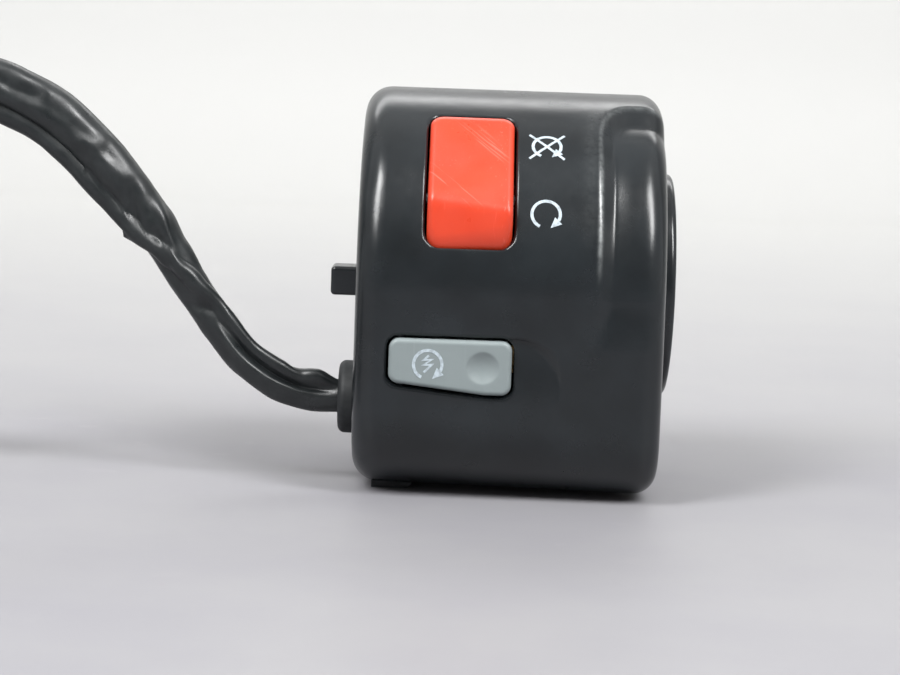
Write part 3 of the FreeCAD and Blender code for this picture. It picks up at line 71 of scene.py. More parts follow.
def finish_mesh(name: str, mesh_source: bmesh.types.BMesh, sharp: float = 35.0) -> bpy.types.Object:
    """Turn a mesh drawn in millimetres into an object in metres with smooth shading.

    Args:
        name: Name of the new object.
        mesh_source: The mesh in millimetres; it is freed.
        sharp: Angle in degrees past which an edge stays sharp.

    Returns:
        The new object, at the origin.
    """
    bmesh.ops.scale(mesh_source, vec=(MM, MM, MM), verts=mesh_source.verts)
    bmesh.ops.recalc_face_normals(mesh_source, faces=mesh_source.faces)
    mesh = bpy.data.meshes.new(name)
    mesh_source.to_mesh(mesh)
    mesh_source.free()
    piece = bpy.data.objects.new(name, mesh)
    bpy.context.scene.collection.objects.link(piece)
    shade(piece, sharp)
    return piece


def shade(piece: bpy.types.Object, sharp: float = 35.0) -> None:
    """Smooth a piece's shading.

    Args:
        piece: The piece.
        sharp: Angle in degrees past which an edge stays sharp.
    """
    piece.data.shade_smooth()
    piece.data.set_sharp_from_angle(angle=math.radians(sharp))


def combine(base: bpy.types.Object, tool: bpy.types.Object, operation: Operation) -> None:
    """Apply one solid to another and remove the tool.

    Args:
        base: The solid that is kept.
        tool: The solid that is used up.
        operation: What the tool does to the base.
    """
    step = base.modifiers.new("combine", "BOOLEAN")
    step.object = tool
    step.operation = operation.value
    step.solver = "MANIFOLD"
    depsgraph = bpy.context.evaluated_depsgraph_get()
    mesh = bpy.data.meshes.new_from_object(base.evaluated_get(depsgraph))
    base.modifiers.clear()
    old = base.data
    base.data = mesh
    bpy.data.meshes.remove(old)
    bpy.data.objects.remove(tool)


def block(
    low: Sequence[float], high: Sequence[float], edge: float = 0.0, segments: int = 3
) -> bpy.types.Object:
    """A box between two corners in millimetres, with rounded edges.

    Args:
        low: Lowest corner.
        high: Highest corner.
        edge: Radius of the edges, or 0.
        segments: Steps across each rounded edge.

    Returns:
        The box as an object.
    """
    mesh = bmesh.new()
    bmesh.ops.create_cube(mesh, size=1.0)
    size = Vector(high) - Vector(low)
    bmesh.ops.scale(mesh, vec=size, verts=mesh.verts)
    bmesh.ops.translate(mesh, vec=(Vector(high) + Vector(low)) / 2, verts=mesh.verts)
    if edge:
        round_edges(mesh, mesh.edges[:], edge, segments)
    return finish_mesh("block", mesh)


def round_edges(mesh: bmesh.types.BMesh, edges: list, radius: float, segments: int) -> None:
    """Bevel edges to a round.

    Args:
        mesh: The mesh that they are in.
        edges: The edges.
        radius: Radius of the round.
        segments: Steps across it.
    """
    bmesh.ops.bevel(
        mesh,
        geom=edges,
        offset=radius,
        segments=segments,
        profile=0.5,
        affect="EDGES",
        material=-1,
        clamp_overlap=True,
    )


def bar(
    start: Sequence[float], way: Sequence[float], radius: float, length: float, sides: int = 64
) -> bpy.types.Object:
    """A round bar in millimetres.

    Args:
        start: Middle of its first end.
        way: Direction that it runs in.
        radius: Its radius.
        length: Its length.
        sides: Faces round it.

    Returns:
        The bar as an object.
    """
    mesh = bmesh.new()
    bmesh.ops.create_cone(
        mesh, cap_ends=True, segments=sides, radius1=radius, radius2=radius, depth=length
    )
    turn = Vector((0, 0, 1)).rotation_difference(Vector(way)).to_matrix()
    bmesh.ops.rotate(mesh, cent=(0, 0, 0), matrix=turn, verts=mesh.verts)
    middle = Vector(start) + Vector(way).normalized() * length / 2
    bmesh.ops.translate(mesh, vec=middle, verts=mesh.verts)
    return finish_mesh("bar", mesh)


def spun(
    profile: Sequence[Corner], way: Matrix, angle: float = 2 * math.pi, steps: int = 96
) -> bpy.types.Object:
    """A closed outline of (along, radius) points spun about the X axis.

    Args:
        profile: The outline, in millimetres.
        way: Transform that puts the X axis where the piece goes.
        angle: How far it is spun.
        steps: Steps of the spin.

    Returns:
        The spun piece as an object.
    """
    mesh = bmesh.new()
    verts = [bmesh.ops.create_vert(mesh, co=(along, 0, radius))["vert"][0] for along, radius in profile]
    edges = [mesh.edges.new((verts[i], verts[(i + 1) % len(verts)])) for i in range(len(verts))]
    whole = abs(angle - 2 * math.pi) < 1e-6
    ends = bmesh.ops.spin(
        mesh, geom=verts + edges, cent=(0, 0, 0), axis=(1, 0, 0), angle=angle, steps=steps, use_merge=whole
    )
    if not whole:
        last = [item for item in ends["geom_last"] if isinstance(item, bmesh.types.BMEdge)]
        bmesh.ops.edgeloop_fill(mesh, edges=edges)
        bmesh.ops.edgeloop_fill(mesh, edges=last)
    bmesh.ops.remove_doubles(mesh, verts=mesh.verts, dist=1e-4)
    bmesh.ops.transform(mesh, matrix=way, verts=mesh.verts)
    return finish_mesh("spun", mesh)


def rounded_corner(corner: Corner, radius: float, start: float, steps: int = 6) -> list[Corner]:
    """Points of a quarter round outline corner.

    Args:
        corner: Middle of the round.
        radius: Its radius.
        start: Angle of its first point, in radians; it turns clockwise from there.
        steps: Steps of the quarter turn.

    Returns:
        The points.
    """
    turns = (start - QUARTER * step / steps for step in range(steps + 1))
    return [(corner[0] + radius * math.cos(turn), corner[1] + radius * math.sin(turn)) for turn in turns]


def prism(
    outline: Sequence[Corner], low: float, high: float, place: Callable[[float, float, float], Vector]
) -> bmesh.types.BMesh:
    """An outline extruded between two levels.

    Args:
        outline: Corners of the outline.
        low: First level.
        high: Second level.
        place: Turns a corner and a level into a place in millimetres.

    Returns:
        A mesh that is still open for edits.
    """
    mesh = bmesh.new()
    verts = [bmesh.ops.create_vert(mesh, co=place(a, b, low))["vert"][0] for a, b in outline]
    bmesh.ops.contextual_create(mesh, geom=verts)
    raised = bmesh.ops.extrude_face_region(mesh, geom=mesh.faces[:])
    top = [item for item in raised["geom"] if isinstance(item, bmesh.types.BMVert)]
    first = place(0, 0, low)
    bmesh.ops.translate(mesh, vec=place(0, 0, high) - first, verts=top)
    bmesh.ops.recalc_face_normals(mesh, faces=mesh.faces)
    return mesh


def stations(
    low: float, high: float, step: float, fine: float, marks: Iterable[tuple[float, float]]
) -> list[float]:
    """Places from low to high, closer together near marks.

    Args:
        low: First place.
        high: Last place.
        step: Usual distance between places.
        fine: Distance near a mark.
        marks: Pairs of a place and how far from it the places are close.

    Returns:
        The places in order.
    """
    marks = list(marks)
    places = [low]
    while places[-1] < high:
        here = places[-1]
        near = any(abs(here + fine / 2 - mark) < reach for mark, reach in marks)
        coming = min((mark - reach - here for mark, reach in marks if mark - reach > here), default=step)
        places.append(here + (fine if near else max(fine, min(step, coming))))
    places[-1] = high
    if len(places) > 2 and places[-1] - places[-2] < fine / 2:
        places.pop(-2)
    return places


def lofted(rings: Sequence[Sequence[Vector]]) -> bmesh.types.BMesh:
    """A closed skin over rings that all have the same number of points.

    Args:
        rings: The rings in millimetres; the first and the last are all one point.

    Returns:
        A mesh that is still open for edits.
    """
    mesh = bmesh.new()
    around, levels = len(rings[0]), len(rings) - 1
    grid = bmesh.ops.create_grid(mesh, x_segments=around, y_segments=levels, size=1.0)["verts"]
    for vertex in grid:
        column = round((vertex.co.x + 1) / 2 * around) % around
        level = round((vertex.co.y + 1) / 2 * levels)
        vertex.co = rings[level][column]
    bmesh.ops.remove_doubles(mesh, verts=mesh.verts, dist=1e-5)
    return mesh


class RoundedOutline:
    """A convex outline whose corners are rounded."""

    def __init__(self, corners: Sequence[Corner], radius: float) -> None:
        """Find the middles of the rounded corners.

        Args:
            corners: The outline's sharp corners, in order.
            radius: Radius of its rounded corners.
        """
        self.radius = radius
        points = [Vector(corner) for corner in corners]
        middle = sum(points, Vector((0.0, 0.0))) / len(points)
        sides = []
        for start, end in zip(points, points[1:] + points[:1]):
            way = (end - start).normalized()
            outward = Vector((way.y, -way.x))
            if outward.dot(start - middle) < 0:
                outward.negate()
            sides.append((start - outward * radius, way, outward))
        self.middles: list[Vector] = []
        self.outwards: list[tuple[Vector, Vector]] = []
        for before, after in zip(sides[-1:] + sides[:-1], sides):
            first, first_way, first_out = before
            second, second_way, second_out = after
            share = (second - first).cross(second_way) / first_way.cross(second_way)
            self.middles.append(first + first_way * share)
            self.outwards.append((first_out, second_out))

    def distance(self, point: Corner) -> float:
        """Distance of a point outside the outline, negative inside."""
        here = Vector(point)
        nearest = math.inf
        inside = True
        for index, start in enumerate(self.middles):
            run = self.middles[(index + 1) % len(self.middles)] - start
            offset = here - start
            share = min(1.0, max(0.0, offset.dot(run) / run.length_squared))
            nearest = min(nearest, (offset - run * share).length)
            inside = inside and offset.dot(self.outwards[index][1]) <= 0
        return (-nearest if inside else nearest) - self.radius

    def ring(self, inset: float = 0.0, corner_steps: int = 8, side_step: float = 0.4) -> list[Vector]:
        """Points round the outline.

        Args:
            inset: How far they are moved inwards, no more than the corners' radius.
            corner_steps: Steps round each corner.
            side_step: Longest step along a straight side.

        Returns:
            The points, as many for every inset.
        """
        reach = self.radius - inset
        points = []
        for index, middle in enumerate(self.middles):
            first, second = self.outwards[index]
            for step in range(corner_steps + 1):
                points.append(middle + first.lerp(second, step / corner_steps).normalized() * reach)
            following = self.middles[(index + 1) % len(self.middles)]
            count = math.ceil((following - middle).length / side_step)
            points += [middle.lerp(following, step / count) + second * reach for step in range(1, count)]
        return points


def rounded_box_distance(point: Corner, low: Corner, high: Corner, radius: float) -> float:
    """Distance outside a rounded rectangle, negative inside.

    Args:
        point: Where it is measured.
        low: The rectangle's low corner.
        high: The rectangle's high corner.
        radius: Radius of its corners.

    Returns:
        The signed distance.
    """
    across = abs(point[0] - (low[0] + high[0]) / 2) - (high[0] - low[0]) / 2 + radius
    along = abs(point[1] - (low[1] + high[1]) / 2) - (high[1] - low[1]) / 2 + radius
    outside = math.hypot(max(across, 0.0), max(along, 0.0))
    return outside + min(max(across, along), 0.0) - radius


def roll_over(distance: float, radius: float) -> float:
    """How far a surface drops where it rolls over into an opening.

    Args:
        distance: Distance from the opening's edge.
        radius: Radius of the round.

    Returns:
        The drop.
    """
    if distance >= radius:
        return 0.0
    rest = radius - max(distance, 0.0)
    return radius - math.sqrt(max(radius * radius - rest * rest, 0.0))


def eased(share: float) -> float:
    """A smooth step from 0 to 1."""
    share = min(1.0, max(0.0, share))
    return share * share * (3 - 2 * share)


def soft_lower(first: float, second: float, round_off: float) -> float:
    """The lower of two values, with the change between them rounded off.

    Args:
        first: One value.
        second: The other value.
        round_off: How much lower the result is where they are alike.

    Returns:
        The value.
    """
    return (first + second) / 2 - math.hypot((first - second) / 2, round_off)


# Finishes


class Shades:
    """A material's node tree with short calls to add and link nodes."""

    def __init__(self, name: str) -> None:
        """Start an empty material."""
        self.material = bpy.data.materials.new(name)
        self.material.use_nodes = True
        self.tree = self.material.node_tree
        self.shader = self.tree.nodes["Principled BSDF"]
        self.coordinates = self.tree.nodes.new("ShaderNodeTexCoord").outputs["Object"]

    def put(self, **values: float | tuple) -> None:
        """Set plain values on the shader's own sockets; underscores stand for spaces."""
        for name, value in values.items():
            self.shader.inputs[name.replace("_", " ")].default_value = value

    def link(self, source: bpy.types.NodeSocket, target: str) -> None:
        """Feed one of the shader's sockets.

        Args:
            source: Where the value comes from.
            target: Name of the socket.
        """
        self.tree.links.new(source, self.shader.inputs[target])

    def stretched(self, scale: Sequence[float], turn: Sequence[float] = (0, 0, 0)) -> bpy.types.NodeSocket:
        """Object coordinates stretched and turned.

        Args:
            scale: Stretch along each axis.
            turn: Turn about each axis in radians.

        Returns:
            The coordinates.
        """
        node = self.tree.nodes.new("ShaderNodeMapping")
        node.inputs["Scale"].default_value = scale
        node.inputs["Rotation"].default_value = turn
        self.tree.links.new(self.coordinates, node.inputs["Vector"])
        return node.outputs["Vector"]

    def grain(
        self,
        scale: float,
        detail: float = 3.0,
        rough: float = 0.5,
        at: Optional[bpy.types.NodeSocket] = None,
    ) -> bpy.types.NodeSocket:
        """Soft noise.

        Args:
            scale: Cells per metre.
            detail: How many finer layers it has.
            rough: How strong those layers are.
            at: Coordinates, or None for the object's own.

        Returns:
            The noise, 0 to 1.
        """
        node = self.tree.nodes.new("ShaderNodeTexNoise")
        node.inputs["Scale"].default_value = scale
        node.inputs["Detail"].default_value = detail
        node.inputs["Roughness"].default_value = rough
        self.tree.links.new(at or self.coordinates, node.inputs["Vector"])
        return node.outputs["Fac"]

    def ramp(
        self, source: bpy.types.NodeSocket, low: float, high: float, start: float, end: float
    ) -> bpy.types.NodeSocket:
        """Map a value from one range to another, held at its ends.

        Args:
            source: The value.
            low: Start of its range.
            high: End of its range.
            start: Result at the range's start.
            end: Result at the range's end.

        Returns:
            The mapped value.
        """
        node = self.tree.nodes.new("ShaderNodeMapRange")
        node.inputs["From Min"].default_value = low
        node.inputs["From Max"].default_value = high
        node.inputs["To Min"].default_value = start
        node.inputs["To Max"].default_value = end
        self.tree.links.new(source, node.inputs["Value"])
        return node.outputs["Result"]

    def times(
        self, first: bpy.types.NodeSocket, second: bpy.types.NodeSocket, kind: str = "MULTIPLY"
    ) -> bpy.types.NodeSocket:
        """Two values multiplied, or joined by another operation.

        Args:
            first: One value.
            second: The other value.
            kind: The math node's operation.

        Returns:
            The result, held between 0 and 1.
        """
        node = self.tree.nodes.new("ShaderNodeMath")
        node.operation = kind
        node.use_clamp = True
        self.tree.links.new(first, node.inputs[0])
        self.tree.links.new(second, node.inputs[1])
        return node.outputs["Value"]

    def blend(
        self,
        share: bpy.types.NodeSocket,
        first: bpy.types.NodeSocket | Colour,
        second: bpy.types.NodeSocket | Colour,
    ) -> bpy.types.NodeSocket:
        """Mix two colours.

        Args:
            share: How much there is of the second colour.
            first: The first colour.
            second: The second colour.

        Returns:
            The mixed colour.
        """
        node = self.tree.nodes.new("ShaderNodeMix")
        node.data_type = "RGBA"
        self.tree.links.new(share, node.inputs["Factor"])
        for socket, colour in ((node.inputs["A"], first), (node.inputs["B"], second)):
            if isinstance(colour, bpy.types.NodeSocket):
                self.tree.links.new(colour, socket)
            else:
                socket.default_value = (*colour, 1.0)
        return node.outputs["Result"]

    def relief(self, height: bpy.types.NodeSocket, depth: float, strength: float = 1.0) -> None:
        """Bump the surface, on top of any bump it has.

        Args:
            height: Height of the bump, 0 to 1.
            depth: Metres that the height stands for.
            strength: How strongly it shows.
        """
        node = self.tree.nodes.new("ShaderNodeBump")
        node.inputs["Strength"].default_value = strength
        node.inputs["Distance"].default_value = depth
        self.tree.links.new(height, node.inputs["Height"])
        normal = self.shader.inputs["Normal"]
        if normal.is_linked:
            self.tree.links.new(normal.links[0].from_socket, node.inputs["Normal"])
        self.tree.links.new(node.outputs["Normal"], normal)

    def open_behind(self) -> None:
        """Let light and sight through from the back of the surface."""
        clear = self.tree.nodes.new("ShaderNodeBsdfTransparent")
        mixed = self.tree.nodes.new("ShaderNodeMixShader")
        behind = self.tree.nodes.new("ShaderNodeNewGeometry").outputs["Backfacing"]
        self.tree.links.new(behind, mixed.inputs["Fac"])
        self.tree.links.new(self.shader.outputs["BSDF"], mixed.inputs[1])
        self.tree.links.new(clear.outputs["BSDF"], mixed.inputs[2])
        self.tree.links.new(mixed.outputs["Shader"], self.tree.nodes["Material Output"].inputs["Surface"])

    def stored(self, name: str) -> bpy.types.NodeSocket:
        """A value stored on the mesh."""
        node = self.tree.nodes.new("ShaderNodeAttribute")
        node.attribute_name = name
        return node.outputs["Fac"]

    def measured(self, way: Sequence[float]) -> bpy.types.NodeSocket:
        """How far a place lies along a direction, in millimetres."""
        node = self.tree.nodes.new("ShaderNodeVectorMath")
        node.operation = "DOT_PRODUCT"
        self.tree.links.new(self.coordinates, node.inputs[0])
        node.inputs[1].default_value = Vector(way) / MM
        return node.outputs["Value"]

    def within(
        self, value: bpy.types.NodeSocket, low: float, high: float, soft: float
    ) -> bpy.types.NodeSocket:
        """Tell where a value lies between two levels.

        Args:
            value: The value.
            low: The lower level.
            high: The upper level.
            soft: Margin inside the levels over which the result fades.

        Returns:
            1 between the levels and 0 outside them.
        """
        rise = self.ramp(value, low, low + soft, 0.0, 1.0)
        return self.times(rise, self.ramp(value, high - soft, high, 1.0, 0.0))

    def rubbed(self, rub: "Rub") -> bpy.types.NodeSocket:
        """The fine parallel lines of a rubbed patch, 0 to 1."""
        across, along = self.measured(rub.across), self.measured(rub.along)
        patch = self.times(
            self.within(across, rub.low[0], rub.high[0], 0.5),
            self.within(along, rub.low[1], rub.high[1], 3.0),
        )
        place = self.tree.nodes.new("ShaderNodeCombineXYZ")
        self.tree.links.new(across, place.inputs["X"])
        drift = self.ramp(along, -40.0, 40.0, -1.2, 1.2)
        self.tree.links.new(drift, place.inputs["Y"])
        lines = self.ramp(self.grain(2.6, 2.0, 0.6, place.outputs["Vector"]), 0.56, 0.62, 0.0, 1.0)
        return self.times(lines, patch)

    def scratches(self, scale: float, thin: float, turn: float) -> bpy.types.NodeSocket:
        """Fine straight scratches that lie mostly one way.

        Args:
            scale: Scratches per metre across them.
            thin: How few there are, 0 to 1.
            turn: Their direction in radians about Y.

        Returns:
            The scratches, 0 to 1.
        """
        lines = self.stretched((scale, scale, scale * 0.02), (0, turn, 0))
        here = self.grain(1.0, 2.0, 0.5, lines)
        return self.ramp(here, thin, thin + 0.06, 0.0, 1.0)


@dataclass(frozen=True)
class Rub:
    """A patch of fine parallel scratches: its two directions and its reach along them in millimetres."""

    low: Corner
    high: Corner
    across: tuple[float, float, float] = (0.70, 0.432, 0.568)
    along: tuple[float, float, float] = (0.70, -0.432, -0.568)


@dataclass(frozen=True)
class Paint:
    """Satin black paint on die-cast alloy, lighter where the mesh says so: worn to metal, and a painted
    highlight along the throttle band's edge.
    """

    name: str = "case_paint"
    colour: tuple = (0.0075, 0.0095, 0.0110)
    # Lighter colour for worn metal; along the throttle band's edge it is also a painted highlight
    bare_metal_and_painted_highlight: tuple = (0.34, 0.36, 0.36)

    def material(self) -> bpy.types.Material:
        """The paint's material."""
        shades = Shades(self.name)
        cloud = shades.grain(90.0, 4.0)
        dull = tuple(channel * 1.7 for channel in self.colour)
        paint = shades.blend(shades.ramp(cloud, 0.35, 0.7, 0.0, 1.0), self.colour, dull)
        speckle = shades.ramp(shades.grain(900.0, 5.0, 0.7), 0.30, 0.62, 0.15, 1.0)
        # The stored value lightens the paint for wear and for the painted highlight along the band's edge
        worn = shades.times(shades.stored("wear_and_painted_highlight"), speckle)
        shades.link(shades.blend(worn, paint, self.bare_metal_and_painted_highlight), "Base Color")
        patches = shades.ramp(shades.grain(160.0, 5.0, 0.6), 0.3, 0.75, 0.20, 0.30)
        shades.link(patches, "Roughness")
        shades.relief(shades.grain(2600.0, 2.0), 0.00002, 0.35)
        shades.relief(shades.grain(420.0, 3.0), 0.00006, 0.25)
        shades.put(IOR=1.5)
        return shades.material


@dataclass(frozen=True)
class Moulding:
    """Moulded plastic with fine grain, rubbed patches and scratches."""

    name: str
    colour: tuple
    scuffed: tuple
    roughness: float = 0.4
    scratched: float = 0.3
    grain: float = 1800.0
    subsurface: float = 0.0
    rubs: tuple[Rub, ...] = ()

    def material(self) -> bpy.types.Material:
        """The plastic's material."""
        shades = Shades(self.name)
        cloud = shades.ramp(shades.grain(140.0, 4.0), 0.35, 0.7, 0.0, 0.45)
        base = shades.blend(cloud, self.colour, self.scuffed)
        long_lines = shades.scratches(2600.0, 0.66, 0.72)
        short_lines = shades.scratches(4200.0, 0.69, -0.5)
        patch = shades.ramp(shades.grain(75.0, 2.0), 0.42, 0.62, 0.0, 1.0)
        lines = shades.times(shades.times(long_lines, short_lines, "MAXIMUM"), patch)
        for rub in self.rubs:
            lines = shades.times(lines, shades.rubbed(rub), "MAXIMUM")
        soft = shades.ramp(lines, 0.0, 1.0, 0.0, self.scratched)
        scored = tuple(min(1.0, channel * 1.5 + 0.12) for channel in self.colour)
        shades.link(shades.blend(soft, base, scored), "Base Color")
        rub = shades.ramp(shades.grain(220.0, 4.0), 0.3, 0.7, self.roughness - 0.07, self.roughness + 0.09)
        shades.link(rub, "Roughness")
        shades.relief(shades.grain(self.grain, 3.0), 0.00002, 0.4)
        shades.put(IOR=1.47)
        if self.subsurface:
            shades.put(Subsurface_Weight=self.subsurface, Subsurface_Scale=0.0015)
        return shades.material


@dataclass(frozen=True)
class Rubbery:
    """Rubber or vinyl with a dusty bloom and a fine skin."""

    name: str
    colour: tuple
    bloom: tuple
    roughness: float = 0.5
    skin: float = 1500.0

    def material(self) -> bpy.types.Material:
        """The rubber's material."""
        shades = Shades(self.name)
        dust = shades.ramp(shades.grain(260.0, 5.0, 0.6), 0.45, 0.75, 0.0, 0.7)
        shades.link(shades.blend(dust, self.colour, self.bloom), "Base Color")
        rub = shades.ramp(shades.grain(330.0, 4.0), 0.3, 0.7, self.roughness - 0.1, self.roughness + 0.12)
        shades.link(rub, "Roughness")
        shades.relief(shades.grain(self.skin, 4.0), 0.00005, 0.4)
        shades.put(IOR=1.5)
        return shades.material


@dataclass(frozen=True)
class Metal:
    """Plain metal with turning lines and dull spots."""

    name: str
    colour: tuple
    stained: tuple
    roughness: float = 0.3

    def material(self) -> bpy.types.Material:
        """The metal's material."""
        shades = Shades(self.name)
        spots = shades.ramp(shades.grain(700.0, 4.0, 0.6), 0.45, 0.7, 0.0, 1.0)
        shades.link(shades.blend(spots, self.colour, self.stained), "Base Color")
        rub = shades.ramp(shades.grain(1200.0, 3.0), 0.3, 0.7, self.roughness - 0.08, self.roughness + 0.15)
        shades.link(rub, "Roughness")
        shades.relief(shades.grain(1.0, 2.0, 0.5, shades.stretched((400.0, 400.0, 9000.0))), 0.00001, 0.5)
        shades.put(Metallic=1.0)
        return shades.material


@dataclass(frozen=True)
class Print:
    """Pad-printed ink, thin and a little worn."""

    name: str = "pale_print"
    colour: tuple = (0.46, 0.53, 0.575)
    thin: tuple = (0.24, 0.275, 0.30)

    def material(self) -> bpy.types.Material:
        """The ink's material."""
        shades = Shades(self.name)
        worn = shades.ramp(shades.grain(1500.0, 4.0, 0.6), 0.45, 0.75, 0.0, 1.0)
        shades.link(shades.blend(worn, self.colour, self.thin), "Base Color")
        shades.relief(shades.grain(3000.0, 2.0), 0.00001, 0.3)
        shades.put(Roughness=0.55)
        return shades.material


Finish = Paint | Moulding | Rubbery | Metal | Print


@dataclass
class FinishShelf:
    """Every finish of the switch, made once."""

    made: dict = field(default_factory=dict)

    def get(self, finish: Finish) -> bpy.types.Material:
        """The material of a finish, made on first use."""
        if finish.name not in self.made:
            self.made[finish.name] = finish.material()
        return self.made[finish.name]

    def dress(self, piece: bpy.types.Object, finish: Finish) -> None:
        """Give a piece one finish all over.

        Args:
            piece: The piece.
            finish: Its finish.
        """
        piece.data.materials.clear()
        piece.data.materials.append(self.get(finish))

    def dress_node(self, node: str, finish: Finish) -> None:
        """Give a construction node one finish through its material slots.

        Args:
            node: Name of the node.
            finish: Its finish.
        """
        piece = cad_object(node)
        for slot in piece.material_slots:
            slot.material = self.get(finish)


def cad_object(node: str) -> bpy.types.Object:
    """The Blender object of a construction node."""
    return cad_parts[node]


RED_RUBS = (Rub((-0.4, -15.4), (2.6, -1.4)), Rub((-10.6, -12.4), (-8.1, 2.1)))
CASE_PAINT = Paint()
RED_PLASTIC = Moulding(
    "red_plastic", (0.64, 0.056, 0.021), (0.56, 0.042, 0.017), 0.34, 0.42, 1500.0, 0.08, RED_RUBS
)
GREY_PLASTIC = Moulding("grey_plastic", (0.222, 0.257, 0.260), (0.190, 0.221, 0.224), 0.40, 0.05)
INNER_PLASTIC = Moulding("inner_plastic", (0.02, 0.02, 0.022), (0.03, 0.03, 0.032), 0.55, 0.1)
TIE_NYLON = Moulding("tie_nylon", (0.015, 0.015, 0.016), (0.03, 0.03, 0.03), 0.42, 0.15)
PLUG_NYLON = Moulding("plug_nylon", (0.60, 0.58, 0.50), (0.48, 0.46, 0.40), 0.42, 0.1, 900.0, 0.15)
SLEEVE_VINYL = Rubbery("sleeve_vinyl", (0.0105, 0.0130, 0.0140), (0.026, 0.030, 0.031), 0.36, 2300.0)
BLACK_RUBBER = Rubbery("black_rubber", (0.012, 0.014, 0.0155), (0.035, 0.038, 0.040), 0.6)
STOP_VINYL = Rubbery("stop_vinyl", (0.28, 0.03, 0.015), (0.22, 0.03, 0.02), 0.4)
START_VINYL = Rubbery("start_vinyl", (0.12, 0.085, 0.012), (0.09, 0.065, 0.012), 0.5)
ZINC_STEEL = Metal("zinc_steel", (0.62, 0.60, 0.52), (0.40, 0.38, 0.32), 0.33)
PIN_STEEL = Metal("pin_steel", (0.62, 0.62, 0.63), (0.45, 0.45, 0.46), 0.22)
BLUED_STEEL = Metal("blued_steel", (0.10, 0.105, 0.115), (0.06, 0.06, 0.065), 0.42)
SPRING_STEEL = Metal("spring_steel", (0.55, 0.55, 0.56), (0.40, 0.39, 0.38), 0.25)
CONTACT_BRASS = Metal("contact_brass", (0.80, 0.58, 0.28), (0.52, 0.33, 0.15), 0.27)
PALE_PRINT = Print()

PLAIN_NODES = {
    "case_screws": ZINC_STEEL,
    "rocker_pivot_pin": PIN_STEEL,
    "stop_slider": INNER_PLASTIC,
    "stop_bridge": CONTACT_BRASS,
    "detent_ball": PIN_STEEL,
    "detent_spring": SPRING_STEEL,
    "stop_contact_base": INNER_PLASTIC,
    "stop_fixed_contacts": CONTACT_BRASS,
    "stop_base_screws": ZINC_STEEL,
    "start_pivot_pin": BLUED_STEEL,
    "start_plunger": INNER_PLASTIC,
    "start_bridge": CONTACT_BRASS,
    "start_contact_base": INNER_PLASTIC,
    "start_fixed_contacts": CONTACT_BRASS,
    "start_base_screws": ZINC_STEEL,
    "start_return_spring": SPRING_STEEL,
    "harness_clamp": INNER_PLASTIC,
    "harness_clamp_screw": ZINC_STEEL,
    "sleeve_end": SLEEVE_VINYL,
    "stop_leads": STOP_VINYL,
    "start_leads": START_VINYL,
    "connector_terminals": CONTACT_BRASS,
}


# Studio


